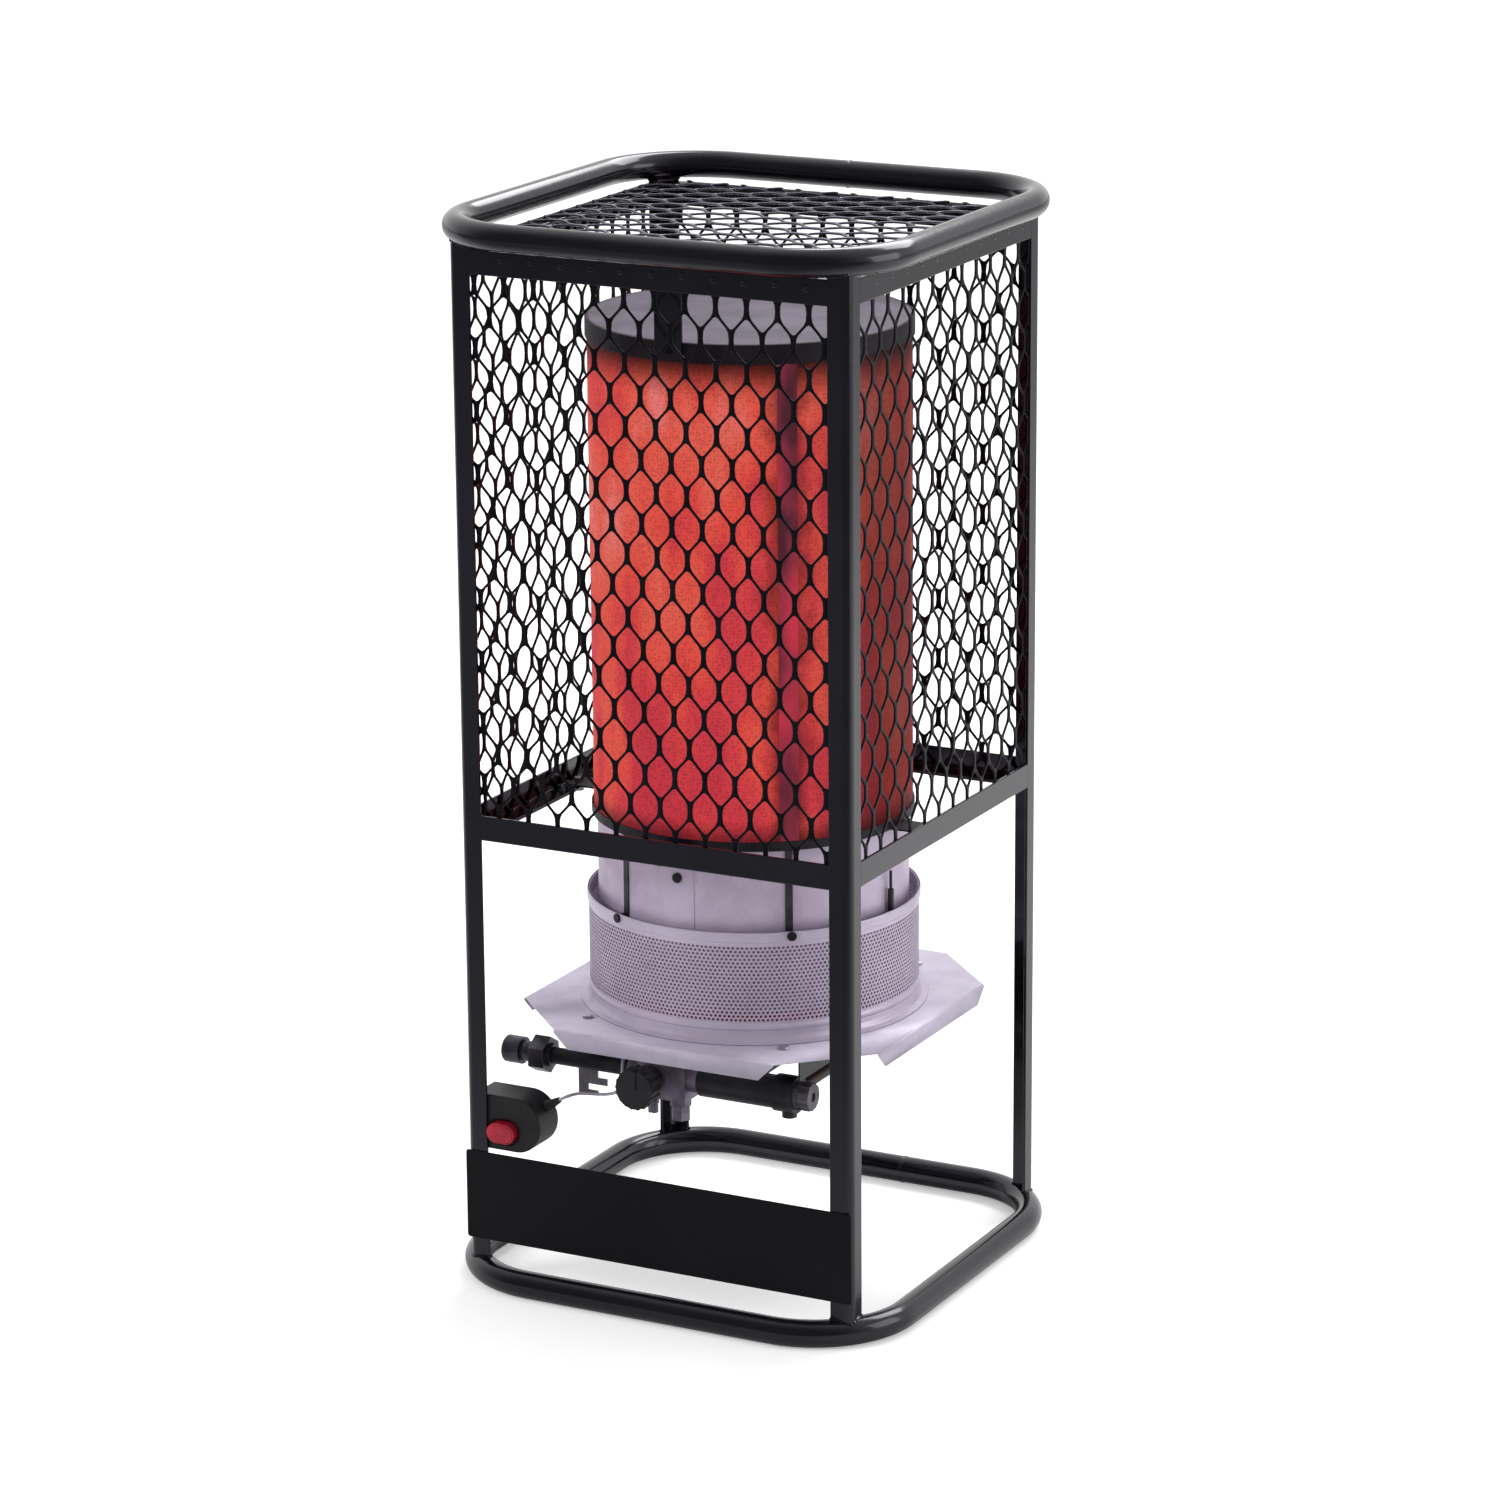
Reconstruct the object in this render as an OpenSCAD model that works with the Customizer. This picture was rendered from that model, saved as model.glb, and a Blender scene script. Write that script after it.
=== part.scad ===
// Portable radiant gas heater: a square tube-and-angle frame with expanded-metal
// guards around a glowing cylindrical emitter, over a burner drum, an air intake
// collar, a sheet tray and the gas train with its push-and-turn valve and igniter.
// Millimetres. Front is -Y, right is +X, up is +Z, origin at the bottom centre.

/* [Frame] */
// Outer width and depth of the two tube rings
ring_w = 396; // [392:1:400]
// Outer diameter of the ring tube
tube_d = 22; // [21:0.5:23]
// Wall of the ring tube
tube_t = 1.5; // [1:0.1:2.5]
// Centreline radius of the ring corners
ring_bend = 79; // [76:1:82]
// Overall height, floor to the top of the upper ring
total_h = 864; // [860:1:900]
// How far the posts' outer faces stand inside the ring's outer side
post_set = 27; // [26:0.5:28]
// Leg width of the corner posts
post_leg = 18.5; // [17:0.5:20]
// Thickness of posts and rails
angle_t = 2.5; // [2:0.1:3]
// Outer corner radius of the corner posts
post_round = 7; // [5:0.5:8]
// Height of the vertical leg of the rails
rail_h = 20; // [18:0.5:22]
// Underside of the middle rails
mid_z = 370; // [366:1:374]
// Distance of the upper rails' top face below the overall height
top_drop = 24; // [23:0.5:27]
// Lower edge of the front plate
plate_z0 = 37; // [30:1:45]
// Upper edge of the front plate
plate_z1 = 111; // [100:1:112]
// Thickness of the front plate
plate_t = 1.5; // [1:0.1:2]

/* [Guard mesh] */
// Short pitch of the expanded metal, across the openings
mesh_short = 26; // [25:0.5:27]
// Long pitch of the expanded metal, along the openings
mesh_long = 49.5; // [48:0.5:50.5]
// Half width of one opening
open_half_w = 11; // [9:0.1:11.2]
// Half length of one opening
open_half_l = 17.4; // [16:0.1:17.6]
// Half length of one opening's sides, before its corners turn in
open_side = 5.8; // [4:0.1:7]
// How far the corners of one opening are cut back
open_cut = 1; // [0.4:0.1:2]
// Thickness of the mesh sheet
mesh_t = 1.8; // [1:0.1:1.8]
// Sideways shift of the pattern on the four screens
mesh_shift = 6; // [-9:1:9]

/* [Emitter] */
// How far the glowing screen stands outside the burner drum
emit_step = 3.1; // [2:0.1:3.5]
// Wall of the glowing screen
emit_t = 1; // [0.8:0.1:1.4]
// Height of the cap's skirt
cap_h = 15.5; // [13:0.5:18]
// Free height between the cap and the top face of the upper rails
head_room = 67; // [60:1:80]
// Half width of the lugs that carry the burner on the rails
lug_half = 13; // [10:1:18]
// Width of the bracket that comes down from the front upper rail to the cap
hanger_w = 23.5; // [18:0.5:28]
// Clearance between that bracket and the cap's skirt
hanger_gap = 0.3; // [0.3:0.1:1]

/* [Burner] */
// Outer radius of the burner drum
drum_r = 124.5; // [123:0.1:125]
// How far the drum's lower edge stands above the tray
drum_lift = 22; // [18:1:32]
// Radial distance from the drum's outside to the collar's outside
collar_gap = 8; // [7.5:0.1:8.5]
// Height of the collar with its rolled rim
collar_h = 91; // [87:1:94]
// Radius of the burner tube
burner_r = 22; // [20:0.5:23]

/* [Tray] */
// How far the tray's edges stand inside the posts' outer faces
tray_side = 12; // [9:1:14]
// Length cut off each corner of the tray
tray_clip = 62; // [60:1:64]
// Distance of the tray's top face below the middle rails
tray_drop = 152; // [151:0.5:153]
// Depth of the tray's turned-down flanges
flange_h = 14.5; // [12:0.5:15]
// Sheet thickness of tray, drum and collar
sheet_t = 1.2; // [1:0.1:1.4]
// Sideways distance of the two channel rails from the middle
chan_x = 87.5; // [86:0.5:89]
// Width of a channel rail
chan_w = 33; // [31:1:34]
// Radial clearance between the collar's foot and the tray screws' heads
screw_gap = 4; // [3:0.5:6]
// Distance from the tray screws to the channel rails' ends
screw_end = 5; // [5:0.5:12]

/* [Gas train] */
// Distance of the gas line below the tray's top face
gas_drop = 44; // [42:0.5:46]
// Distance of the gas line in front of the middle
gas_y = 100; // [98:1:102]
// Outer radius of the male inlet end
inlet_r = 11.1; // [10.5:0.1:12]
// Outer radius of the inlet pipe
pipe_r = 6.85; // [6:0.05:7]
// Outer radius of the large gas pipe
mix_r = 13.35; // [12:0.05:13.5]
// Position of the valve's turning axis, left of the middle
valve_x = 32; // [30:0.5:34]
// Diameter of the knob
knob_d = 34.5; // [32:0.5:36]
// Thickness of the knob
knob_t = 14; // [12:0.5:15]
// Radial clearance of the valve plug and of the stem
valve_gap = 0.08; // [0.05:0.01:0.1]

/* [Igniter] */
// Distance of the button's centre inside the posts' outer faces
button_in = 32; // [31.5:0.5:33]
// Height of the button's centre above the front plate
button_up = 18; // [16:0.5:20]
// Width of the oval button
button_w = 25; // [23:0.5:25]
// Height of the oval button
button_h = 17; // [15:0.5:18]
// How far the button stands out of its housing
button_out = 6.5; // [6.2:0.1:7]
// Clearance around the button
button_gap = 0.4; // [0.3:0.05:0.6]
// Diameter of the ignition lead
lead_d = 2.6; // [2:0.1:3]

/* [Hidden] */
$fn = 96;
post_half = ring_w / 2 - post_set;
top_z = total_h - top_drop;
cap_z1 = top_z - head_room;
cap_z0 = cap_z1 - cap_h;
emit_r = drum_r + emit_step;
collar_r = drum_r + collar_gap;
tray_half = post_half - tray_side;
tray_z = mid_z - tray_drop;
drum_z0 = tray_z + drum_lift;
collar_z1 = tray_z + collar_h;
gas_z = tray_z - gas_drop;
button_x = post_half - button_in;
button_z = plate_z1 + button_up;
ring_c = ring_w / 2 - tube_d / 2;
ring_s = ring_c - ring_bend;
ring_z1 = total_h - tube_d / 2;
post_in = post_half - post_leg;
face_in = post_half - angle_t;
rail_len = 2 * post_in;
screen_half = post_half - post_round - 0.5;
grille_half = face_in - 2.1;
screen_z0 = mid_z + angle_t + 0.2;
screen_z1 = top_z - angle_t - 0.2;
row_first = mid_z + 21.1;
row_count = floor((screen_z1 - row_first - open_half_l - 1) / (mesh_long / 2)) + 1;
lug_z = mid_z + angle_t + 0.5;
lug_t = 1.5;
lug_x = post_half - 12;
lug_end = post_half - 6;
hanger_x = -2;
hanger_y = emit_r + 1.4 + hanger_gap;
rivet_z = lug_z - 26;
strap_z = collar_z1 - 11;
strap_rivet_z = collar_z1 - 4;
head_z = tray_z + 82;
lip_z = lug_z + 7.5;
chan_z1 = tray_z - sheet_t;
chan_z0 = chan_z1 - 22;
foot_w = 7.5;
screw_head = 4.5;
screw_ring = collar_r + foot_w + screw_head + screw_gap;
screw_y = round(sqrt(screw_ring * screw_ring - chan_x * chan_x));
chan_half = screw_y + screw_end;
strap_angles = [-116, -50, 65, 130];
elec_angle = -5;
elec_r = (drum_r + collar_r - sheet_t) / 2;
elec_x = elec_r * cos(elec_angle);
elec_y = elec_r * sin(elec_angle);
inlet_x0 = -post_half - 3;
inlet_x1 = inlet_x0 + 44;
ign_x = post_half - 7.5;
ign_z0 = plate_z1 + 2.5;
boot_x = 53.5 - ign_x;
boot_y = 18.5 - face_in;
boot_z = button_z + 20.1;
black = [0.11, 0.11, 0.14];
zinc = [0.72, 0.70, 0.75];
steel = [0.55, 0.54, 0.58];
knob_y0 = -gas_y - 33;
lead_route = [[boot_x + 7.7, boot_y, boot_z + 4.7], [boot_x + 14.1, boot_y, boot_z + 8.6],
    [boot_x + 18.5, boot_y + 3.2, boot_z + 10.6], [boot_x + 23, boot_y + 15, boot_z + 9.9],
    [-valve_x - 38, -gas_y - 22, gas_z - 17], [-valve_x - 28, -gas_y - 21, gas_z - 12],
    [-valve_x - 24, -gas_y - 22, gas_z + 2], [-valve_x - 24, -gas_y - 18, gas_z + 15],
    [-valve_x - 20, -gas_y - 4, gas_z + 20], [-valve_x - 8, -gas_y + 24, gas_z + 19],
    [0, -46, gas_z + 15], [60, -26, gas_z + 14], [elec_x - 15.4, elec_y - 2.9, gas_z + 15],
    [elec_x - 2.6, elec_y - 0.2, tray_z - 25], [elec_x, elec_y, tray_z - 15]];

// ---- shared shapes ----

module tube_piece(len) {
    rotate([90, 0, 0])
        difference() {
            cylinder(d = tube_d, h = len, center = true);
            cylinder(d = tube_d - 2 * tube_t, h = len + 1, center = true);
        }
}

module tube_bend() {
    rotate_extrude(angle = 90)
        translate([ring_bend, 0])
            difference() {
                circle(d = tube_d);
                circle(d = tube_d - 2 * tube_t);
            }
}

// one closed square ring of tube with a small drain hole inside the left run
module tube_ring(zc) {
    difference() {
        translate([0, 0, zc])
            for (k = [0:3])
                rotate([0, 0, 90 * k]) {
                    translate([ring_c, 0, 0]) tube_piece(2 * ring_s);
                    translate([ring_s, ring_s, 0]) tube_bend();
                }
        translate([tube_d / 2 + 2 - ring_c, 0, zc])
            rotate([0, -90, 0]) cylinder(d = 4, h = 6, $fn = 32);
    }
}

module round_corner_square(side, r) {
    square([side, side - r]);
    square([side - r, side]);
    translate([side - r, side - r]) circle(r = r);
}

// bent corner post, corner pointing to +X +Y, coped over both rings
module corner_post() {
    difference() {
        translate([0, 0, tube_d / 2])
            linear_extrude(height = total_h - tube_d)
                difference() {
                    translate([post_in, post_in]) round_corner_square(post_leg, post_round);
                    translate([post_in - 1, post_in - 1])
                        round_corner_square(post_leg + 1 - angle_t, post_round - angle_t);
                }
        for (z = [tube_d / 2, ring_z1])
            translate([ring_s, ring_s, z])
                rotate_extrude(angle = 90)
                    translate([ring_bend, 0]) circle(d = tube_d + 0.2);
    }
}

// angle rail on the +X side; the flat leg points inwards
module rail(z0, flat_z) {
    translate([face_in, -rail_len / 2, z0]) cube([angle_t, rail_len, rail_h]);
    translate([post_in, -rail_len / 2, flat_z]) cube([post_leg, rail_len, angle_t]);
}

module mid_rail() {
    difference() {
        rail(mid_z, mid_z);
        translate([lug_x, 0, mid_z - 1]) cylinder(r = 2.7, h = angle_t + 2, $fn = 32);
    }
}

module mesh_opening() {
    w = open_half_w;
    s0 = open_side - open_cut;
    s1 = open_side + open_cut;
    polygon([[-w, -s0], [open_cut - w, -s1], [0, -open_half_l], [w - open_cut, -s1], [w, -s0],
        [w, s0], [w - open_cut, s1], [0, open_half_l], [open_cut - w, s1], [-w, s0]]);
}

// flat expanded-metal sheet, long openings along its own Y axis
module mesh_sheet(w, h, first, rows, shift) {
    linear_extrude(height = mesh_t)
        difference() {
            translate([-w / 2, 0]) square([w, h]);
            for (n = [0:rows - 1])
                for (k = [-8:8]) {
                    x = shift + (n % 2 == 0 ? 0 : mesh_short / 2) + k * mesh_short;
                    if (abs(x) + open_half_w < w / 2 - 2.3)
                        translate([x, first + n * mesh_long / 2]) mesh_opening();
                }
        }
}

// square sheet whose outer openings are cut off just inside its edge
module grille_sheet(half, edge) {
    linear_extrude(height = mesh_t)
        difference() {
            square(2 * half, center = true);
            intersection() {
                square(2 * (half - edge), center = true);
                for (n = [-6:6])
                    for (k = [-7:7])
                        if (abs(k + (n % 2 == 0 ? 0 : 0.5)) < 6.6)
                            translate([(k + (n % 2 == 0 ? 0 : 0.5)) * mesh_short, n * mesh_long / 2])
                                mesh_opening();
            }
        }
}

module screen_sheet() {
    translate([0, face_in - 0.3, screen_z0])
        rotate([90, 0, 0])
            mesh_sheet(2 * screen_half, screen_z1 - screen_z0, row_first - screen_z0,
                row_count, mesh_shift);
}

module ring_solid(r0, r1, z0, z1) {
    difference() {
        translate([0, 0, z0]) cylinder(r = r1, h = z1 - z0);
        translate([0, 0, z0 - 1]) cylinder(r = r0, h = z1 - z0 + 2);
    }
}

module along_x(x0, x1, r, z = gas_z) {
    translate([x0, -gas_y, z]) rotate([0, 90, 0]) cylinder(r = r, h = x1 - x0);
}

module along_y(x, y0, y1, r) {
    translate([x, y0, gas_z]) rotate([-90, 0, 0]) cylinder(r = r, h = y1 - y0);
}

// ---- frame ----

module base_ring() { color(black) tube_ring(tube_d / 2); }

module top_ring() { color(black) tube_ring(ring_z1); }

module post_front_left() { color(black) rotate([0, 0, 180]) corner_post(); }

module post_front_right() { color(black) rotate([0, 0, -90]) corner_post(); }

module post_rear_left() { color(black) rotate([0, 0, 90]) corner_post(); }

module post_rear_right() { color(black) corner_post(); }

module mid_rail_front() { color(black) rotate([0, 0, -90]) mid_rail(); }

module mid_rail_rear() { color(black) rotate([0, 0, 90]) mid_rail(); }

module mid_rail_left() { color(black) rotate([0, 0, 180]) mid_rail(); }

module mid_rail_right() { color(black) mid_rail(); }

module top_rail_front() {
    color(black) rotate([0, 0, -90]) rail(top_z - rail_h, top_z - angle_t);
}

module top_rail_rear() {
    color(black) rotate([0, 0, 90]) rail(top_z - rail_h, top_z - angle_t);
}

module top_rail_left() {
    color(black) rotate([0, 0, 180]) rail(top_z - rail_h, top_z - angle_t);
}

module top_rail_right() { color(black) rail(top_z - rail_h, top_z - angle_t); }

module screen_front() { color(black) rotate([0, 0, 180]) mirror([1, 0, 0]) screen_sheet(); }

module screen_rear() { color(black) screen_sheet(); }

module screen_left() { color(black) rotate([0, 0, 90]) screen_sheet(); }

module screen_right() { color(black) rotate([0, 0, -90]) mirror([1, 0, 0]) screen_sheet(); }

module top_grille() {
    color(black)
        translate([0, 0, top_z])
            rotate([0, 0, -90]) grille_sheet(grille_half, 1.5);
}

module front_plate() {
    color(black)
        translate([-post_half - 0.5, -post_half - plate_t, plate_z0])
            cube([2 * post_half + 1, plate_t, plate_z1 - plate_z0]);
}

// ---- emitter ----

module emitter_screen() {
    color([0.95, 0.25, 0.15])
        ring_solid(emit_r - emit_t, emit_r, lug_z + lug_t, cap_z1 - 1.4);
}

// overlapping seam strip that closes the rolled screen
module emitter_seam() {
    color([0.5, 0.1, 0.1])
        rotate([0, 0, -53.5])
            rotate_extrude(angle = 7)
                translate([emit_r + 0.05, lip_z + 0.3])
                    square([0.8, cap_z0 - lip_z - 0.6]);
}

module emitter_cap() {
    color(steel) {
        ring_solid(emit_r + 0.2, emit_r + 1.4, cap_z0, cap_z1 - 0.6);
        translate([0, 0, cap_z1 - 1.2]) cylinder(r = emit_r + 1.4, h = 1.2);
    }
}

// strap bent down from the front upper rail, in front of the cap's skirt
module cap_bracket() {
    color(black)
        translate([hanger_x - hanger_w / 2, 0, 0]) {
            translate([0, -post_in, top_z - angle_t]) cube([hanger_w, post_in - hanger_y, angle_t]);
            translate([0, -hanger_y - angle_t, cap_z0 + 6])
                cube([hanger_w, angle_t, top_z - cap_z0 - 6]);
        }
}

module emitter_base() {
    color([0.2, 0.19, 0.2]) {
        difference() {
            union() {
                translate([0, 0, lug_z]) cylinder(r = emit_r + 1.4, h = lug_t);
                for (k = [0:3])
                    rotate([0, 0, 90 * k])
                        translate([drum_r - 2, -lug_half, lug_z])
                            cube([lug_end - drum_r + 2, 2 * lug_half, lug_t]);
            }
            translate([0, 0, lug_z - 1]) cylinder(r = drum_r - 5, h = lug_t + 2);
            for (k = [0:3])
                rotate([0, 0, 90 * k])
                    translate([lug_x, 0, lug_z - 1]) cylinder(r = 2.7, h = lug_t + 2, $fn = 32);
        }
        ring_solid(emit_r + 0.2, emit_r + 1.4, lug_z + 0.5, lip_z);
    }
}

// screw, washer face and nut that clamp each lug to its rail
module lug_bolts() {
    color(steel)
        for (k = [0:3])
            rotate([0, 0, 90 * k])
                translate([lug_x, 0, 0]) {
                    translate([0, 0, lug_z + lug_t]) cylinder(r = 4.2, h = 3, $fn = 6);
                    translate([0, 0, mid_z - 4])
                        cylinder(r = 2.4, h = lug_z + lug_t - mid_z + 5, $fn = 32);
                    translate([0, 0, mid_z - 3.4]) cylinder(r = 4.2, h = 3.2, $fn = 6);
                }
}

// ---- burner ----

module burner_drum() {
    color(zinc)
        difference() {
            union() {
                ring_solid(drum_r - sheet_t, drum_r, drum_z0, lug_z);
                rotate([0, 0, -97])
                    rotate_extrude(angle = 12.4)
                        translate([drum_r - 0.6, drum_z0]) square([1.4, lug_z - drum_z0]);
            }
            rotate([0, 0, -91])
                translate([drum_r - 5, 0, rivet_z]) rotate([0, 90, 0]) cylinder(r = 2.2, h = 10, $fn = 32);
        }
}

module drum_rivet() {
    color(steel)
        rotate([0, 0, -91])
            translate([drum_r - sheet_t - 1, 0, rivet_z])
                rotate([0, 90, 0]) {
                    cylinder(r = 2, h = 5, $fn = 32);
                    translate([0, 0, sheet_t + 1.8 + 0.1]) cylinder(r = 4, h = 1.6, $fn = 32);
                }
}

module drum_straps() {
    color(steel)
        for (a = strap_angles)
            rotate([0, 0, a])
                translate([drum_r + 0.05, -3, strap_z]) cube([1.2, 6, lug_z - strap_z - 0.3]);
}

module strap_rivets() {
    color([0.25, 0.25, 0.28])
        for (a = strap_angles)
            rotate([0, 0, a])
                translate([drum_r + 1.25, 0, strap_rivet_z])
                    rotate([0, 90, 0]) {
                        cylinder(r = 3.2, h = collar_gap - sheet_t - 1.45, $fn = 32);
                        cylinder(r = 2, h = collar_gap + 1, $fn = 32);
                        translate([0, 0, collar_gap + 0.05])
                            cylinder(r = 3.8, h = 1.8, $fn = 32);
                    }
}

// ignition and flame-sensing rod in its sleeve, upright between drum and collar
module electrode() {
    color([0.12, 0.12, 0.13])
        rotate([0, 0, elec_angle])
            translate([elec_r, 0, 0]) {
                translate([0, 0, tray_z - 14.8]) cylinder(r = 1.5, h = 4, $fn = 32);
                translate([0, 0, tray_z - 12]) cylinder(r = 2.5, h = 118, $fn = 48);
                translate([0, 0, tray_z + 105]) cylinder(r = 1.2, h = 16, $fn = 32);
            }
}

module electrode_nut() {
    color(steel)
        rotate([0, 0, elec_angle])
            translate([elec_r, 0, tray_z - sheet_t - 4])
                difference() {
                    cylinder(r = 6, h = 3.8, $fn = 6);
                    translate([0, 0, -1]) cylinder(r = 2.6, h = 6, $fn = 48);
                }
}

module intake_collar() {
    c = collar_r;
    color(zinc)
        difference() {
            rotate_extrude()
                polygon([[c - sheet_t, tray_z], [c + foot_w, tray_z], [c + foot_w, tray_z + 1.2],
                    [c + 2.6, tray_z + 2.2], [c + 0.9, tray_z + 6], [c, tray_z + 10],
                    [c + 1.1, tray_z + 11.4], [c + 1.1, tray_z + 13.4], [c, tray_z + 15],
                    [c, collar_z1 - 8.4], [c + 1.1, collar_z1 - 7.8], [c + 1.1, collar_z1 - 0.5],
                    [c + 0.6, collar_z1], [c - sheet_t, collar_z1]]);
            for (a = strap_angles)
                rotate([0, 0, a])
                    translate([c - 4, 0, strap_rivet_z]) rotate([0, 90, 0]) cylinder(r = 2.1, h = 8, $fn = 32);
        }
}

// ---- tray ----

module tray_outline() {
    h = tray_half;
    e = tray_half - tray_clip;
    polygon([[-e, -h], [e, -h], [h, -e], [h, e], [e, h], [-e, h], [-h, e], [-h, -e]]);
}

module tray() {
    e = tray_half - tray_clip;
    color(zinc) {
        difference() {
            translate([0, 0, tray_z - sheet_t]) linear_extrude(height = sheet_t) tray_outline();
            translate([0, 0, tray_z - 5]) cylinder(r = burner_r + 0.3, h = 10);
            for (x = [-chan_x, chan_x])
                for (y = [-screw_y, screw_y])
                    translate([x, y, tray_z - 5]) cylinder(r = 2.6, h = 10, $fn = 32);
            rotate([0, 0, elec_angle])
                translate([elec_r, 0, tray_z - 5]) cylinder(r = 3, h = 10, $fn = 48);
        }
        for (k = [0:3])
            rotate([0, 0, 90 * k])
                translate([tray_half, 0, tray_z - 0.6])
                    rotate([90, 0, -90])
                        linear_extrude(height = sheet_t)
                            polygon([[-e, 0], [e, 0], [e - flange_h + 0.6, -flange_h + 0.6],
                                [-e + flange_h - 0.6, -flange_h + 0.6]]);
    }
}

module channel(x) {
    color(black)
        difference() {
            translate([x - chan_w / 2, -chan_half, chan_z0]) cube([chan_w, 2 * chan_half, 22]);
            translate([x - chan_w / 2 + 1.6, -chan_half - 1, chan_z0 - 1])
                cube([chan_w - 3.2, 2 * chan_half + 2, 22 + 1 - 1.6]);
            for (y = [-screw_y, screw_y])
                translate([x, y, chan_z0 + 15]) cylinder(r = 2.6, h = 10, $fn = 32);
        }
}

module channel_left() { channel(-chan_x); }

module channel_right() { channel(chan_x); }

module tray_screws() {
    color(steel)
        for (x = [-chan_x, chan_x])
            for (y = [-screw_y, screw_y])
                translate([x, y, 0]) {
                    translate([0, 0, tray_z]) cylinder(r = screw_head, h = 2.4, $fn = 32);
                    translate([0, 0, tray_z - 9]) cylinder(r = 2.4, h = 10, $fn = 32);
                }
}

// ---- burner inside the drum ----

module burner_tube() {
    color(zinc) {
        ring_solid(burner_r - 1.5, burner_r, tray_z - 26, head_z);
        ring_solid(burner_r, burner_r + 12, tray_z, tray_z + 2);
    }
}

module burner_head() {
    color([0.3, 0.3, 0.32])
        difference() {
            union() {
                translate([0, 0, head_z]) cylinder(r1 = 30, r2 = 66, h = 20);
                translate([0, 0, head_z + 20]) cylinder(r = 66, h = 14);
            }
            translate([0, 0, head_z - 1]) cylinder(r = burner_r - 1.5, h = 8);
            translate([0, 0, head_z + 2]) cylinder(r1 = 28, r2 = 63, h = 19.5);
            translate([0, 0, head_z + 21]) cylinder(r = 63, h = 10);
            for (n = [1:3])
                for (k = [0:6 * n - 1])
                    rotate([0, 0, 60 * k / n])
                        translate([17 * n, 0, head_z + 25]) cylinder(r = 3, h = 12, $fn = 16);
        }
}

module gas_orifice() {
    color([0.78, 0.62, 0.3])
        difference() {
            union() {
                translate([0, 0, gas_z - 9]) rotate([0, 0, 30]) cylinder(r = 10, h = 18, $fn = 6);
                translate([0, 0, gas_z + 8]) cylinder(r = 5, h = 13, $fn = 48);
            }
            translate([0, 0, gas_z]) cylinder(r = 0.9, h = 30, $fn = 24);
            translate([0, 0, gas_z]) cylinder(r = 3, h = 16, $fn = 32);
            translate([0, 0, gas_z]) rotate([0, 90, 0]) cylinder(r = 3.2, h = 20, $fn = 32);
        }
}

// ---- gas train ----

module inlet_fitting() {
    color([0.35, 0.34, 0.37])
        difference() {
            union() {
                translate([inlet_x0, -gas_y, gas_z]) rotate([0, 90, 0])
                    cylinder(r1 = inlet_r - 1.6, r2 = inlet_r, h = 1.6);
                along_x(inlet_x0 + 1.6, inlet_x0 + 16.5, inlet_r);
                along_x(inlet_x0 + 16, inlet_x0 + 28, 8.4);
                translate([inlet_x0 + 27, -gas_y, gas_z]) rotate([0, 90, 0])
                    cylinder(r = 15.4, h = 14, $fn = 6);
                along_x(inlet_x1 - 3.5, inlet_x1, 9.6);
            }
            along_x(inlet_x0 - 1, inlet_x1 + 1, 4.2);
        }
}

module inlet_pipe() {
    color(black)
        difference() {
            along_x(inlet_x1, -valve_x - 26, pipe_r);
            along_x(inlet_x1 - 1, -valve_x - 25, pipe_r - 2.2);
        }
}

module pipe_bracket() {
    color(zinc)
        translate([inlet_x1, -gas_y + pipe_r + 1.7, gas_z])
            rotate([90, 0, 0])
                linear_extrude(height = 1.6)
                    polygon([[18, -31.5], [36, -31.5], [36, -27], [27, -27], [27, -22],
                        [44.5, -22], [44.5, -16], [36, -16], [36, 6], [44, 12],
                        [44, chan_z0 - gas_z], [26, chan_z0 - gas_z], [18, 10]]);
}

module valve_body() {
    color(steel)
        difference() {
            union() {
                along_x(-valve_x - 26, 5, 11.5);
                translate([-valve_x - 14, -gas_y - 14, gas_z - 17]) cube([42, 28, 33]);
                along_y(-valve_x, -gas_y - 17, -gas_y + 15, 14);
                translate([-15, -gas_y, gas_z - 24]) cylinder(r = 8.5, h = 14);
                translate([-40, -gas_y, gas_z - 26]) cylinder(r = 5, h = 14, $fn = 48);
            }
            along_x(-valve_x - 27, -valve_x, 4.6);
            along_x(-valve_x, 6, 4.6);
            along_y(-valve_x, -gas_y - 30, -gas_y + 10, 8 + valve_gap);
            translate([-15, -gas_y, gas_z - 25]) cylinder(r = 4.2, h = 14, $fn = 48);
            translate([-40, -gas_y, gas_z - 27]) cylinder(r = 2.6, h = 10, $fn = 32);
        }
}

module valve_bonnet() {
    color([0.3, 0.3, 0.32])
        difference() {
            along_y(-valve_x, -gas_y - 24, -gas_y - 17, 11);
            along_y(-valve_x, -gas_y - 30, -gas_y - 10, 4 + 0.4);
        }
}

// turning plug with its cross passage and the blind hole the stem slides in
module valve_plug() {
    color([0.78, 0.62, 0.3])
        difference() {
            along_y(-valve_x, -gas_y - 16.7, -gas_y + 9.7, 8);
            along_x(-valve_x - 12, -valve_x + 12, 4.4);
            along_y(-valve_x, -gas_y - 30, -gas_y - 5.4, 4 + valve_gap);
        }
}

module valve_stem() {
    color([0.6, 0.6, 0.62]) along_y(-valve_x, knob_y0 - 8, -gas_y - 11.5, 4);
}

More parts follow.
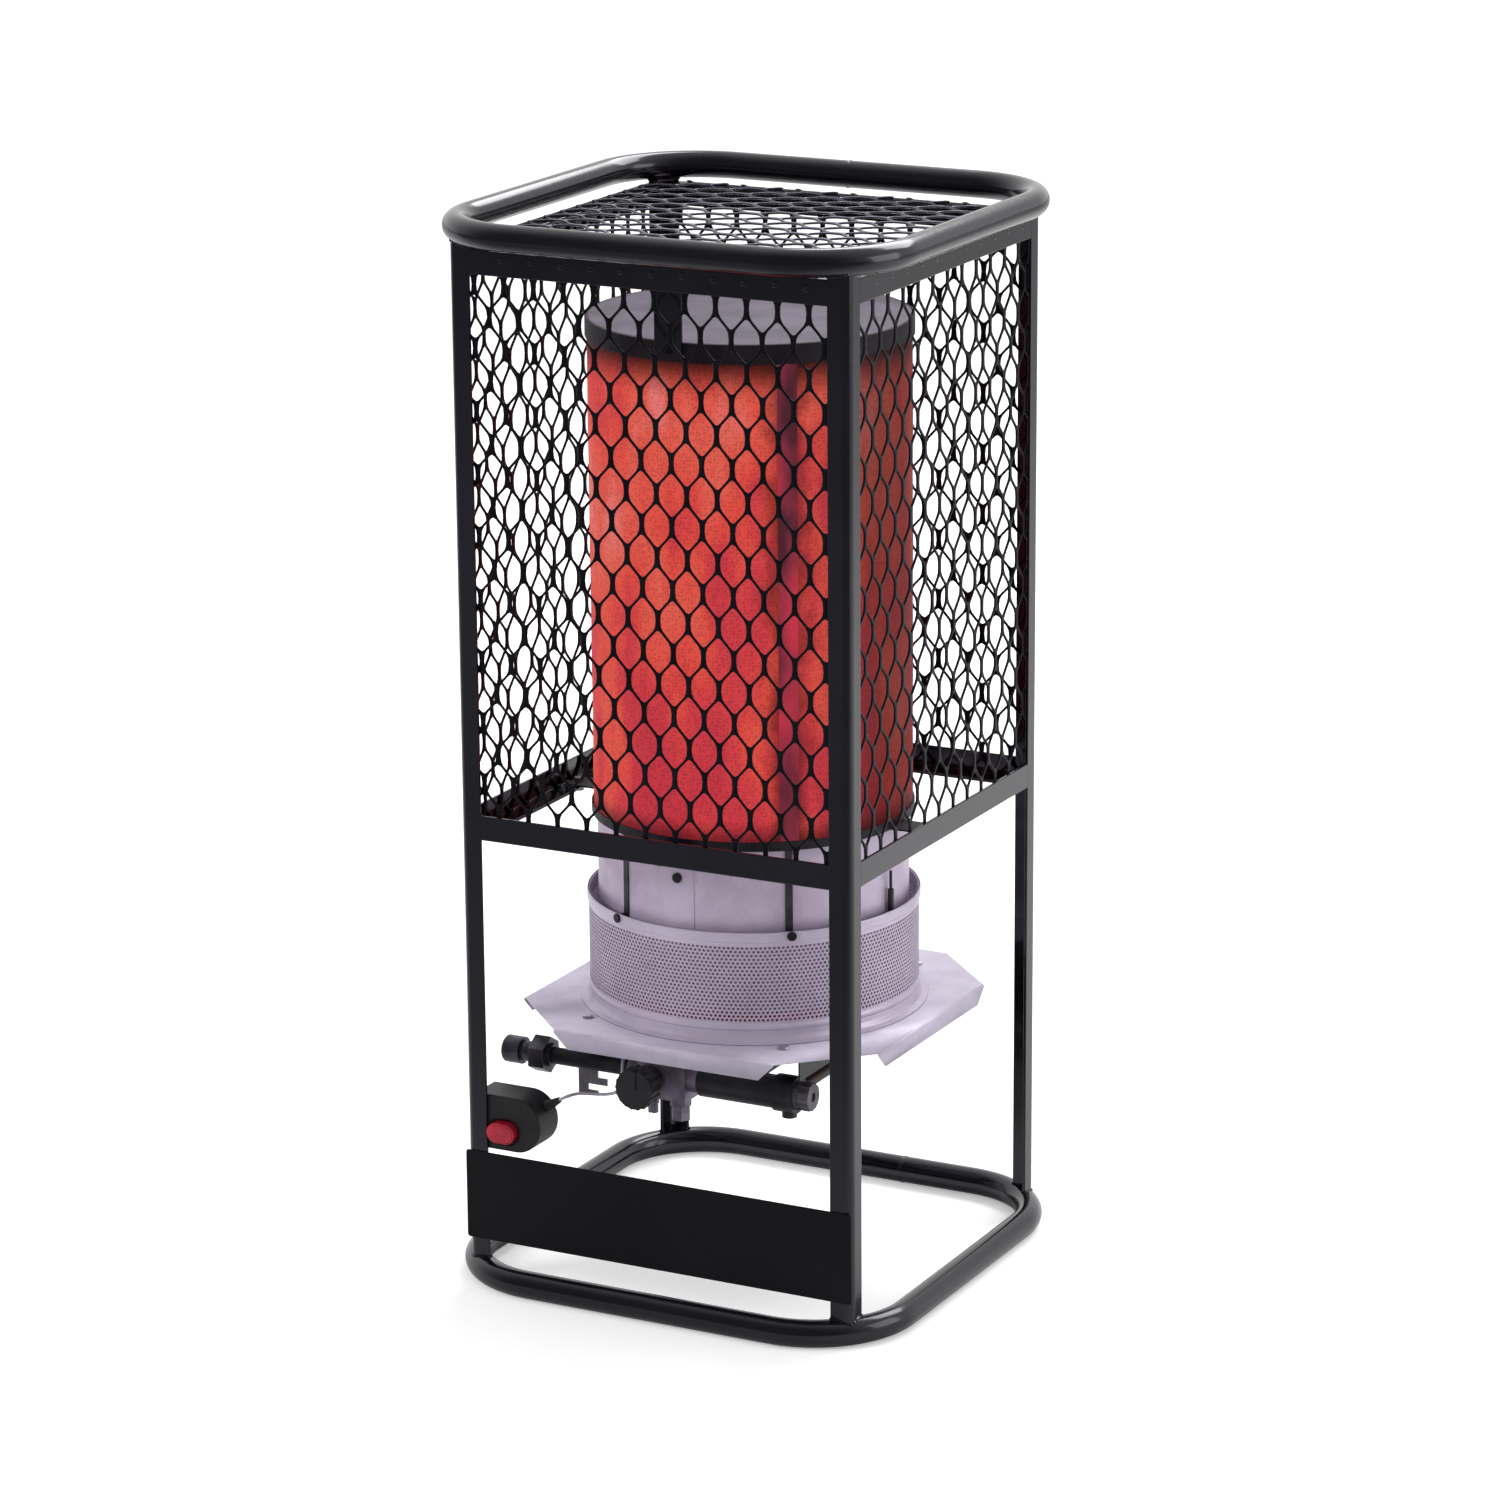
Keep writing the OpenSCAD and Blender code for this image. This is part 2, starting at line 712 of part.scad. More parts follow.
module valve_knob() {
    color(black)
        difference() {
            union() {
                along_y(-valve_x, knob_y0 - knob_t, knob_y0, knob_d / 2 - 1);
                for (k = [0:17])
                    translate([-valve_x, knob_y0, gas_z])
                        rotate([0, 20 * k, 0])
                            translate([knob_d / 2 - 1.6, 0, 0])
                                rotate([90, 0, 0]) cylinder(r = 1.6, h = knob_t - 1, $fn = 24);
                translate([-valve_x - 2, knob_y0 - knob_t - 1.2, gas_z]) cube([4, 3, knob_d / 2 - 2]);
            }
            along_y(-valve_x, knob_y0 - 8, knob_y0 + 1, 4);
        }
}

module valve_nut() {
    color([0.78, 0.62, 0.3])
        difference() {
            translate([-15, -gas_y, gas_z - 36]) cylinder(r = 8.1, h = 12, $fn = 6);
            translate([-15, -gas_y, gas_z - 37]) cylinder(r = 2.4, h = 14, $fn = 32);
        }
}

module valve_bleed_screw() {
    color([0.78, 0.62, 0.3])
        difference() {
            union() {
                translate([-40, -gas_y, gas_z - 34]) cylinder(r = 4.2, h = 8, $fn = 48);
                translate([-40, -gas_y, gas_z - 27]) cylinder(r = 2.5, h = 8, $fn = 32);
            }
            translate([-40.6, -gas_y - 6, gas_z - 35]) cube([1.2, 12, 2.6]);
        }
}

module gas_pipe() {
    color(black)
        difference() {
            along_x(5, 72, mix_r);
            along_x(4, 73, 8);
        }
}

module pipe_tee() {
    color(black)
        difference() {
            union() {
                along_x(72, 90, 15);
                along_y(82, -gas_y, -gas_y + 20, 7.8);
                translate([82, -gas_y, gas_z - 19]) cylinder(r = 6, h = 12, $fn = 48);
            }
            along_x(71, 91, 8);
            along_y(82, -gas_y, -gas_y + 21, 3.6);
        }
}

module pipe_plug() {
    color([0.42, 0.41, 0.44])
        difference() {
            union() {
                along_x(90, 93, 12);
                along_x(92, 103, 10.6);
                for (k = [0:11])
                    translate([92.5, -gas_y, gas_z])
                        rotate([30 * k, 0, 0])
                            translate([0, 10.4, 0]) rotate([0, 90, 0]) cylinder(r = 1.3, h = 10, $fn = 24);
                along_x(84, 91, 7.9);
            }
            translate([101, -gas_y, gas_z]) rotate([0, 90, 0]) cylinder(r = 4, h = 4, $fn = 6);
            along_y(82, -gas_y - 20, -gas_y + 20, 4);
        }
}

module feed_tube() {
    color([0.62, 0.44, 0.3])
        difference() {
            union() {
                along_y(82, -gas_y + 20, -16, 5.15);
                translate([66, -16, gas_z])
                    rotate_extrude(angle = 90) translate([16, 0]) circle(r = 5.15, $fn = 48);
                translate([8.7, 0, gas_z]) rotate([0, 90, 0]) cylinder(r = 5.15, h = 57.3);
            }
            along_y(82, -gas_y + 19, -16, 3.6);
            translate([66, -16, gas_z])
                rotate_extrude(angle = 90) translate([16, 0]) circle(r = 3.6, $fn = 48);
            translate([8, 0, gas_z]) rotate([0, 90, 0]) cylinder(r = 3.6, h = 58);
        }
}

// ---- igniter ----

module oval_y(w, h, y0, y1) {
    translate([-button_x, y0, button_z])
        rotate([-90, 0, 0]) {
            for (s = [-1, 1])
                translate([s * (w - h) / 2, 0, 0]) cylinder(r = h / 2, h = y1 - y0, $fn = 64);
            translate([-(w - h) / 2, -h / 2, 0]) cube([w - h, h, y1 - y0]);
        }
}

module igniter_body() {
    color([0.08, 0.08, 0.09])
        difference() {
            union() {
                translate([-ign_x, -face_in, ign_z0]) cube([35.5, 30, 45.5]);
                translate([35.5 - ign_x, -face_in, ign_z0 + 22.75])
                    rotate([-90, 0, 0]) cylinder(r = 22.75, h = 30);
            }
            oval_y(button_w + 4, button_h + 4, -face_in - 1, -face_in + 1.5);
            oval_y(button_w + 2 * button_gap, button_h + 2 * button_gap, -face_in - 1, -face_in + 18);
        }
}

module igniter_button() {
    color([0.75, 0.12, 0.18]) {
        oval_y(button_w, button_h, -face_in - button_out + 1.2, -face_in + 10);
        oval_y(button_w - 3, button_h - 3, -face_in - button_out, -face_in);
    }
}

// tapered rubber boot where the lead leaves the housing
module igniter_boot() {
    color([0.1, 0.1, 0.1])
        translate([boot_x, boot_y, boot_z])
            rotate([0, 58.6, 0])
                difference() {
                    translate([0, 0, 1.5]) cylinder(r1 = 4.6, r2 = lead_d / 2 + 1, h = 13.7, $fn = 48);
                    cylinder(r = lead_d / 2 + 0.35, h = 20, $fn = 32);
                }
}

function blend(a, b, c, d, t) =
    0.5 * (2 * b + (c - a) * t + (2 * a - 5 * b + 4 * c - d) * t * t
        + (3 * b - a - 3 * c + d) * t * t * t);

function smooth_path(p, n) = concat(
    [for (i = [0:len(p) - 2])
        for (k = [0:n - 1])
            blend(p[max(i - 1, 0)], p[i], p[i + 1], p[min(i + 2, len(p) - 1)], k / n)],
    [p[len(p) - 1]]);

function unit(v) = v / norm(v);

function turned(u, t) = unit(u - (u * t) * t);

// carry one side vector along the path so that the tube doesn't twist
function side_vectors(t, i, u) =
    i >= len(t) ? [] : concat([turned(u, t[i])], side_vectors(t, i + 1, turned(u, t[i])));

module swept_tube(path, r, sides) {
    n = len(path);
    tan = [for (i = [0:n - 1]) unit(path[min(i + 1, n - 1)] - path[max(i - 1, 0)])];
    u = side_vectors(tan, 0, [0, 0.31, 0.95]);
    pts = [for (i = [0:n - 1])
        for (k = [0:sides - 1])
            path[i] + r * cos(360 * k / sides) * u[i]
                + r * sin(360 * k / sides) * cross(tan[i], u[i])];
    walls = [for (i = [0:n - 2])
        for (k = [0:sides - 1])
            [i * sides + k, (i + 1) * sides + k, (i + 1) * sides + (k + 1) % sides,
                i * sides + (k + 1) % sides]];
    ends = [[for (k = [0:sides - 1]) k], [for (k = [sides - 1:-1:0]) (n - 1) * sides + k]];
    polyhedron(points = pts, faces = concat(walls, ends));
}

module igniter_lead() {
    color([0.75, 0.74, 0.78]) swept_tube(smooth_path(lead_route, 5), lead_d / 2, 8);
}

base_ring();
top_ring();
post_front_left();
post_front_right();
post_rear_left();
post_rear_right();
mid_rail_front();
mid_rail_rear();
mid_rail_left();
mid_rail_right();
top_rail_front();
top_rail_rear();
top_rail_left();
top_rail_right();
screen_front();
screen_rear();
screen_left();
screen_right();
top_grille();
front_plate();
emitter_screen();
emitter_seam();
emitter_cap();
cap_bracket();
emitter_base();
lug_bolts();
burner_drum();
drum_rivet();
drum_straps();
strap_rivets();
electrode();
electrode_nut();
intake_collar();
tray();
channel_left();
channel_right();
tray_screws();
burner_tube();
burner_head();
gas_orifice();
inlet_fitting();
inlet_pipe();
pipe_bracket();
valve_body();
valve_bonnet();
valve_plug();
valve_stem();
valve_knob();
valve_nut();
valve_bleed_screw();
gas_pipe();
pipe_tee();
pipe_plug();
feed_tube();
igniter_body();
igniter_button();
igniter_boot();
igniter_lead();
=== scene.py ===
# Portable radiant gas heater, dressed for its photograph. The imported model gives
# the frame; every piece below is in metres in that frame and rides on one of its
# bodies: heater, valve, knob or button. Front is -Y, right is +X, up is +Z.

import math

import bmesh
import bpy
import numpy as np
from mathutils import Matrix, Vector


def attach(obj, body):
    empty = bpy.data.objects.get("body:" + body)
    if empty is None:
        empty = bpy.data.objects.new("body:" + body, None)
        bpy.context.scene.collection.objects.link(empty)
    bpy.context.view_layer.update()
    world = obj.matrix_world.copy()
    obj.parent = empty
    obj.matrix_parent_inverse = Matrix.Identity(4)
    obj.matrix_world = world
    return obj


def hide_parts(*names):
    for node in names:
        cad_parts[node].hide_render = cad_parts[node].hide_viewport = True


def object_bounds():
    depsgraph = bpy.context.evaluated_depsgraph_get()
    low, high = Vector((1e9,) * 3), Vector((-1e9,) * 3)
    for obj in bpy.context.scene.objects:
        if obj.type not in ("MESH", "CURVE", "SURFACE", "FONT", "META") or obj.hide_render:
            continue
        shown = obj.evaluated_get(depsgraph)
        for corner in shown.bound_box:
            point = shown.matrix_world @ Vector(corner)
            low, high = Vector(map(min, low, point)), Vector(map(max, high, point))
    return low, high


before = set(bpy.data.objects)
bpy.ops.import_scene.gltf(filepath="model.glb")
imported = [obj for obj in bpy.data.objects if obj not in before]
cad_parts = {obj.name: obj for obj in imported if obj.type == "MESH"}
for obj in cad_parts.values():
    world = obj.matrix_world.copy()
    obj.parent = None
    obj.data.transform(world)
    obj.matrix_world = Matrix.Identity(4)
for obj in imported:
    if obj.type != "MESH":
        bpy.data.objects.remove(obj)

cad_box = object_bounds()

# Camera
# A long lens from the front right and a little above, turned by less than half a
# degree, as the photograph was taken.
azimuth, pitch, roll = (math.radians(a) for a in (27.44, 15.58, -0.43))
aim = np.array([0.0, 0.0, 0.432])        # the heater's middle
distance, aside, below = 4.2875, 0.00224, 0.01223
ahead = np.array([-math.sin(azimuth) * math.cos(pitch), math.cos(azimuth) * math.cos(pitch),
                  -math.sin(pitch)])
level = np.array([math.cos(azimuth), math.sin(azimuth), 0.0])
above = np.cross(level, ahead)
view_x = level * math.cos(roll) + above * math.sin(roll)
view_y = above * math.cos(roll) - level * math.sin(roll)
eye = aim - distance * ahead - aside * view_x - below * view_y

camera = bpy.data.objects.new("camera", bpy.data.cameras.new("camera"))
camera.data.lens = 129.29
camera.data.sensor_width = 36.0
camera.data.clip_end = 200.0
axes = np.stack([view_x, view_y, -ahead], axis=1)
camera.matrix_world = Matrix.Translation(Vector(eye.tolist())) @ Matrix(axes.tolist()).to_4x4()
bpy.context.scene.collection.objects.link(camera)
bpy.context.scene.camera = camera
bpy.context.scene.view_settings.view_transform = "Standard"


# Studio
# A white room lit softly from all sides: a large lamp over the back, one at the front
# left that the paint doesn't mirror, a weaker one on the right, and a plain pale floor.
def srgb(code):
    """Hex sRGB to linear: c / 12.92 up to 0.04045, else ((c + 0.055) / 1.055) ^ 2.4."""
    c = np.array([int(code[i:i + 2], 16) for i in (1, 3, 5)]) / 255.0
    return (*np.where(c <= 0.04045, c / 12.92, ((c + 0.055) / 1.055) ** 2.4).tolist(), 1.0)


def set_sockets(tree, node, **sockets):
    """Gives each named socket of a node a value or a link, where a node means its first output.

    An underscore stands for a space, and i0, i1 name a socket by its number.
    """
    for key, value in sockets.items():
        socket = node.inputs[int(key[1:]) if key[1:].isdigit() else key.replace("_", " ")]
        if isinstance(value, bpy.types.Node):
            value = value.outputs[0]
        if isinstance(value, bpy.types.NodeSocket):
            tree.links.new(value, socket)
        else:
            socket.default_value = value


def add_node(tree, kind, settings=None, **sockets):
    """Adds a node, sets its own settings, and gives its sockets their values or links."""
    node = tree.nodes.new(kind)
    for key, value in (settings or {}).items():
        setattr(node, key, value)
    set_sockets(tree, node, **sockets)
    return node


def new_finish(name):
    """A new material, with its node tree and the shader in it."""
    material = bpy.data.materials.new(name)
    material.use_nodes = True
    return material, material.node_tree, material.node_tree.nodes["Principled BSDF"]


smooth, colours = {"interpolation_type": "SMOOTHSTEP"}, {"data_type": "RGBA"}
plus, times, larger = ({"operation": name} for name in ("ADD", "MULTIPLY", "MAXIMUM"))
plain_white = (1, 1, 1, 1)

world = bpy.data.worlds.new("studio")
bpy.context.scene.world = world
world.use_nodes = True
tree = world.node_tree
tree.nodes.clear()
rays = add_node(tree, "ShaderNodeLightPath").outputs
way = add_node(tree, "ShaderNodeSeparateXYZ",
               Vector=add_node(tree, "ShaderNodeTexCoord").outputs["Generated"])
# mirrored in paint and metal, the room is white behind the heater and dim in front of it
room_side = add_node(tree, "ShaderNodeMapRange", smooth, Value=way.outputs["Y"], From_Min=-0.75,
                     From_Max=0.35, To_Min=0.16, To_Max=1.0)
shown = add_node(tree, "ShaderNodeMath", larger, i0=rays["Is Camera Ray"], i1=room_side)
background = add_node(tree, "ShaderNodeBackground", Color=plain_white, Strength=shown)
ambient = add_node(tree, "ShaderNodeBackground", Color=plain_white, Strength=0.62)
mirrored = add_node(tree, "ShaderNodeMath", larger, i0=rays["Is Glossy Ray"],
                    i1=rays["Is Transmission Ray"])
seen = add_node(tree, "ShaderNodeMath", larger, i0=rays["Is Camera Ray"], i1=mirrored)
room = add_node(tree, "ShaderNodeMixShader", Fac=seen, i1=ambient, i2=background)
add_node(tree, "ShaderNodeOutputWorld", Surface=room)

# name, place, size, watts and whether paint mirrors it; all of them face the heater's middle
lamps = [("lamp_back", (0.3, 1.9, 2.6), (2.6, 1.2), 62.0, True),
         ("lamp_right", (2.7, 0.5, 1.2), (1.6, 1.8), 20.0, True),
         ("lamp_front_left", (-2.2, -2.6, 1.9), (1.2, 1.2), 52.0, False)]
for name, place, size, power, is_mirrored in lamps:
    lamp = bpy.data.objects.new(name, bpy.data.lights.new(name, "AREA"))
    lamp.data.shape = "RECTANGLE"
    lamp.data.size, lamp.data.size_y = size
    lamp.data.energy = power
    lamp.location = place
    facing = Vector((0, 0, 0.45)) - Vector(place)
    lamp.rotation_euler = facing.to_track_quat("-Z", "Y").to_euler()
    lamp.visible_camera = False
    lamp.visible_glossy = is_mirrored
    bpy.context.scene.collection.objects.link(lamp)

floor_half = 30.0
floor_mesh = bpy.data.meshes.new("floor")
floor_mesh.from_pydata([(x * floor_half, y * floor_half, 0) for x, y in
                        ((-1, -1), (1, -1), (1, 1), (-1, 1))], [], [(0, 1, 2, 3)])
floor = bpy.data.objects.new("floor", floor_mesh)
bpy.context.scene.collection.objects.link(floor)
floor_paint, tree, shader = new_finish("matt_white_floor")
rays = add_node(tree, "ShaderNodeLightPath").outputs
place = add_node(tree, "ShaderNodeTexCoord").outputs["Object"]
# mirrored in the paint, the floor is dim in front of the heater, as the unlit side of a room is
unlit = add_node(tree, "ShaderNodeMapRange", smooth, From_Min=0.3, From_Max=-1.2,
                 Value=add_node(tree, "ShaderNodeSeparateXYZ", Vector=place).outputs["Y"])
dim = add_node(tree, "ShaderNodeMath", times, i0=rays["Is Glossy Ray"], i1=unlit)
shade = add_node(tree, "ShaderNodeMix", colours, i0=dim, i6=srgb("#f2f2f2"), i7=srgb("#86868c"))
# far from the lamps the floor is lifted further, so that it stays white up to the picture's edge
reach = add_node(tree, "ShaderNodeVectorMath", {"operation": "LENGTH"}, i0=place)
white = add_node(tree, "ShaderNodeMapRange", smooth, Value=reach.outputs["Value"], From_Min=0.6,
                 From_Max=3.0, To_Min=0.34, To_Max=0.62)
lift = add_node(tree, "ShaderNodeMath", times, i0=rays["Is Camera Ray"], i1=white)
set_sockets(tree, shader, Base_Color=shade.outputs[2], Roughness=0.9, Specular_IOR_Level=0.1,
            Emission_Color=plain_white, Emission_Strength=lift)
floor_mesh.materials.append(floor_paint)


# Tube rings
# Two square rings of 22 mm round steel tube, bent round 79 mm and butt-welded in
# the rear run, under black semi-gloss enamel.
def painted(name, dark, light, patch, grain, rough, relief, metallic=0.0, **shine):
    """A finish with depth: colour drifts from dark to light in clouds patch metres across.

    Roughness runs between the two values of rough in a pattern grain metres across,
    which also stands relief metres proud. shine gives other sockets of the shader.
    """
    material, tree, shader = new_finish(name)
    place = add_node(tree, "ShaderNodeTexCoord").outputs["Object"]
    cloud = add_node(tree, "ShaderNodeTexNoise", Vector=place, Scale=1.0 / patch, Detail=4.0,
                     Roughness=0.55)
    spread = add_node(tree, "ShaderNodeMapRange", Value=cloud, From_Min=0.34, From_Max=0.66)
    colour = add_node(tree, "ShaderNodeMix", colours, i0=spread, i6=srgb(dark), i7=srgb(light))
    fine = add_node(tree, "ShaderNodeTexNoise", Vector=place, Scale=1.0 / grain, Detail=2.0)
    gloss = add_node(tree, "ShaderNodeMapRange", Value=fine, From_Min=0.3, From_Max=0.7,
                     To_Min=rough[0], To_Max=rough[1])
    bump = add_node(tree, "ShaderNodeBump", Height=fine, Distance=relief, Strength=1.0)
    set_sockets(tree, shader, Base_Color=colour.outputs[2], Roughness=gloss, Normal=bump,
                Metallic=metallic, **shine)
    return material


# enamel: smooth and dark, with a faint orange peel about 3 mm across that breaks up the lights
violet_shine = (0.92, 0.87, 1.0, 1.0)
enamel = painted("black_enamel_steel", "#07070c", "#0d0d14", patch=0.09, grain=0.003,
                 rough=(0.13, 0.22), relief=0.00002, Coat_Weight=0.3, Coat_Roughness=0.08,
                 Specular_IOR_Level=0.38, Specular_Tint=violet_shine)
same_point = 2e-6        # points nearer than this are one


def new_piece(name, points, faces, finish, slot, *stands_for, body="heater", sharp=32.0,
              solid=True):
    """Makes one mesh object at the origin, merges its doubles, faces it outwards and rides it.

    Faces meeting at less than sharp degrees are shaded as one smooth surface.
    """
    mesh = bpy.data.meshes.new(name)
    mesh.from_pydata(np.asarray(points, float).reshape(-1, 3).tolist(), [],
                     [list(map(int, face)) for face in faces])
    form = bmesh.new()
    form.from_mesh(mesh)
    bmesh.ops.remove_doubles(form, verts=form.verts, dist=same_point)
    if solid:
        bmesh.ops.recalc_face_normals(form, faces=form.faces)
    form.to_mesh(mesh)
    form.free()
    mesh.polygons.foreach_set("use_smooth", np.ones(len(mesh.polygons), bool))
    mesh.set_sharp_from_angle(angle=math.radians(sharp))
    mesh.materials.append(finish)
    piece = bpy.data.objects.new(name, mesh)
    bpy.context.scene.collection.objects.link(piece)
    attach(piece, body)
    if stands_for:
        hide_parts(*stands_for)
    return piece


def grid_faces(rows, cols, loop_rows=False, loop_cols=False):
    """Quads between the neighbours of a rows x cols grid of points, looped round where asked."""
    i = np.arange(rows if loop_rows else rows - 1)[:, None]
    j = np.arange(cols if loop_cols else cols - 1)[None, :]
    corners = [i * cols + j, i * cols + (j + 1) % cols,
               (i + 1) % rows * cols + (j + 1) % cols, (i + 1) % rows * cols + j]
    return np.stack(np.broadcast_arrays(*corners), axis=-1).reshape(-1, 4)


def round_angles(count):
    """Angles in count equal steps once round, from 0."""
    return np.linspace(0, 2 * np.pi, count, endpoint=False)


def quarter_turned(points, k):
    """Points turned about Z by k right angles: each time (x, y) becomes (-y, x)."""
    turn = np.linalg.matrix_power(np.array([[0.0, -1.0], [1.0, 0.0]]), k)
    return np.concatenate([points[..., :2] @ turn.T, points[..., 2:]], axis=-1)


tube_radius = 0.011
ring_half = 0.187        # from the middle to the tube's centre line
ring_bend = 0.079
ring_start = ring_half - ring_bend
ring_low, ring_high = 0.011, 0.853


def ring_path(arc_steps, run_steps):
    """Centre line of a ring and its outward normals: a straight run, then a quarter circle, x 4."""
    run = np.linspace(-ring_start, ring_start, run_steps, endpoint=False)
    arc = np.linspace(0, np.pi / 2, arc_steps, endpoint=False)
    bend = np.stack([np.cos(arc), np.sin(arc)], axis=1)
    line = np.concatenate([np.stack([np.full_like(run, ring_half), run], axis=1),
                           ring_start + ring_bend * bend])
    out = np.concatenate([np.tile([1.0, 0.0], (run_steps, 1)), bend])
    return [np.concatenate([quarter_turned(part, k) for k in range(4)]) for part in (line, out)]


def tube_round(line, out, height, radius, sides):
    """Circles of the given radius about a flat path: line + r (cos a * out + sin a * up)."""
    a = round_angles(sides)
    flat = line[:, None, :] + radius * np.cos(a)[None, :, None] * out[:, None, :]
    lift = np.broadcast_to(height + radius * np.sin(a), flat.shape[:2])
    return np.concatenate([flat, lift[..., None]], axis=2)


line, out = ring_path(arc_steps=24, run_steps=12)
tube_sides = 44
for name, height in (("base_ring", ring_low), ("top_ring", ring_high)):
    points = tube_round(line, out, height, tube_radius, tube_sides)
    new_piece("tube_" + name, points, grid_faces(len(line), tube_sides, True, True), enamel,
              "frame_black", name)


# Corner posts
# Four steel angles, 18.5 x 18.5 x 2.5 mm, bent round 7 mm at the corner and run
# into both rings, with a weld bead round each end.
def unit(rows):
    """Each row divided by its length."""
    return rows / np.maximum(np.linalg.norm(rows, axis=1, keepdims=True), 1e-9)


def rounded_outline(corners, radii, steps):
    """Closed outline with each corner turned into an arc tangent to both its sides.

    With half the corner's angle h, the arc starts r / tan h from the corner and its
    centre is r / sin h along the bisector. Support points a little way along each
    side keep the flats flat when shaded.
    """
    support = 0.0004
    p = np.asarray(corners, float)
    r = np.broadcast_to(np.asarray(radii, float), len(p))[:, None]
    u = unit(np.roll(p, 1, axis=0) - p)
    v = unit(np.roll(p, -1, axis=0) - p)
    half = np.arccos(np.clip((u * v).sum(axis=1, keepdims=True), -1, 1)) / 2
    reach = r / np.tan(half)
    centre = p + unit(u + v) * r / np.sin(half)
    begin, end = p + u * reach - centre, p + v * reach - centre
    turn = (np.pi - 2 * half)[:, :, None]
    t = np.linspace(0, 1, steps + 1)[None, :, None]
    arc = (np.sin((1 - t) * turn) * begin[:, None] + np.sin(t * turn) * end[:, None]) / np.sin(turn)
    parts = [(p + u * (reach + support))[:, None], arc + centre[:, None],
             (p + v * (reach + support))[:, None]]
    return np.concatenate(parts, axis=1).reshape(-1, 2)


def prism(outline, low, high, chamfer=0.0003):
    """Outline carried from low to high along the third axis, with a small chamfer at both ends.

    A chamfer draws each point in against the outline's normal, the mean of its two sides' normals.
    """
    side = np.roll(outline, -1, axis=0) - outline
    x, y = outline.T
    area = np.sum(x * np.roll(y, -1) - y * np.roll(x, -1))
    normal = unit(np.stack([side[:, 1], -side[:, 0]], axis=1) * np.sign(area))
    normal = unit(normal + np.roll(normal, 1, axis=0))
    layers = [(low, chamfer), (low + chamfer, 0.0), (high - chamfer, 0.0), (high, chamfer)]
    n = len(outline)
    points = np.concatenate([np.c_[outline - normal * inset, np.full(n, z)] for z, inset in layers])
    ends = [list(range(n)), list(range(3 * n, 4 * n))]
    return points, grid_faces(len(layers), n, loop_cols=True).tolist() + ends


leg_thick = 0.0025
post_out, post_in = 0.171, 0.1525        # the angle's outside and its legs' ends, from the middle
post_inner = post_out - leg_thick
post_corners = [(post_in, post_inner), (post_in, post_out), (post_out, post_out),
                (post_out, post_in), (post_inner, post_in), (post_inner, post_inner)]


def post_rounding(edge):
    """Radii of the post's corners: the legs' edges, the bend outside and the bend inside."""
    return [edge, edge, 0.007, edge, edge, 0.0045]


post_outline = rounded_outline(post_corners, post_rounding(0.0006), steps=9)
post_points, post_faces = prism(post_outline, ring_low, ring_high)

# The bead follows the post's outline where it meets the tube: at a distance d from the bend's
# centre the tube's surface is sqrt(r^2 - (d - bend)^2) above or below its centre line.
corner_line = rounded_outline(post_corners, post_rounding(0.0012), steps=4)
step = np.roll(corner_line, -1, axis=0) - corner_line
thirds = np.linspace(0, 1, 4)[None, :3, None]
bead_line = (corner_line[:, None] + step[:, None] * thirds).reshape(-1, 2)
off_centre = np.linalg.norm(bead_line - ring_start, axis=1) - ring_bend
bead_rise = np.sqrt(np.maximum(tube_radius ** 2 - off_centre ** 2, 1e-7))
back = bead_line - np.roll(bead_line, -1, axis=0)
bead_out = unit(np.stack([-back[:, 1], back[:, 0]], axis=1))
bead_sides = 8
bead_angle = round_angles(bead_sides)
bead_radius = 0.0011 + 0.00025 * np.sin(np.arange(len(bead_line)) * 1.9)[:, None]
bead_flat = bead_line[:, None] + (bead_radius * np.cos(bead_angle))[..., None] * bead_out[:, None]
bead_lift = bead_rise[:, None] + bead_radius * np.sin(bead_angle)
bead_faces = grid_faces(len(bead_line), bead_sides, True, True)

quarter_turns = {"rear_right": 0, "rear_left": 1, "front_left": 2, "front_right": 3}
for corner, k in quarter_turns.items():
    new_piece("angle_post_" + corner, quarter_turned(post_points, k), post_faces, enamel,
              "frame_black", "post_" + corner)
    for end, height, sign in (("foot", ring_low, 1), ("head", ring_high, -1)):
        bead = np.concatenate([bead_flat, (height + sign * bead_lift)[..., None]], axis=2)
        new_piece("weld_" + end + "_" + corner, quarter_turned(bead, k), bead_faces, enamel,
                  "frame_black")

# the butt weld of each ring: a low band round the tube, dressed flush below, above and behind
joint_sides = 48
joint_angle = round_angles(joint_sides)
joint_along = np.array([-0.0016, -0.0011, -0.0004, 0.0004, 0.0011, 0.0016])
joint_proud = np.array([-0.0002, 0.0003, 0.00045, 0.00045, 0.0003, -0.0002])
joint_faces = grid_faces(len(joint_along), joint_sides, loop_cols=True)
for name, place, height in (("base", 0.044, ring_low), ("top", -0.0055, ring_high)):
    radius = tube_radius + joint_proud[:, None] + 0.00008 * np.sin(9 * joint_angle)
    along = np.broadcast_to(place + joint_along[:, None], radius.shape)
    points = np.stack([along, ring_half + radius * np.cos(joint_angle),
                       height + radius * np.sin(joint_angle)], axis=2)
    new_piece("butt_weld_" + name, np.clip(points, cad_box[0], cad_box[1]), joint_faces, enamel,
              "frame_black", solid=False)

# Rails
# Eight lengths of black steel angle welded between the posts, 20 x 18.5 x 2.5 mm: the
# middle ones carry the burner on their flat leg, the upper ones carry the grille.
rail_deep = 0.020
rail_half = post_in + 0.0004
rail_rounding = [0.0005, 0.0009, 0.0005, 0.0005, 0.0018, 0.0005]


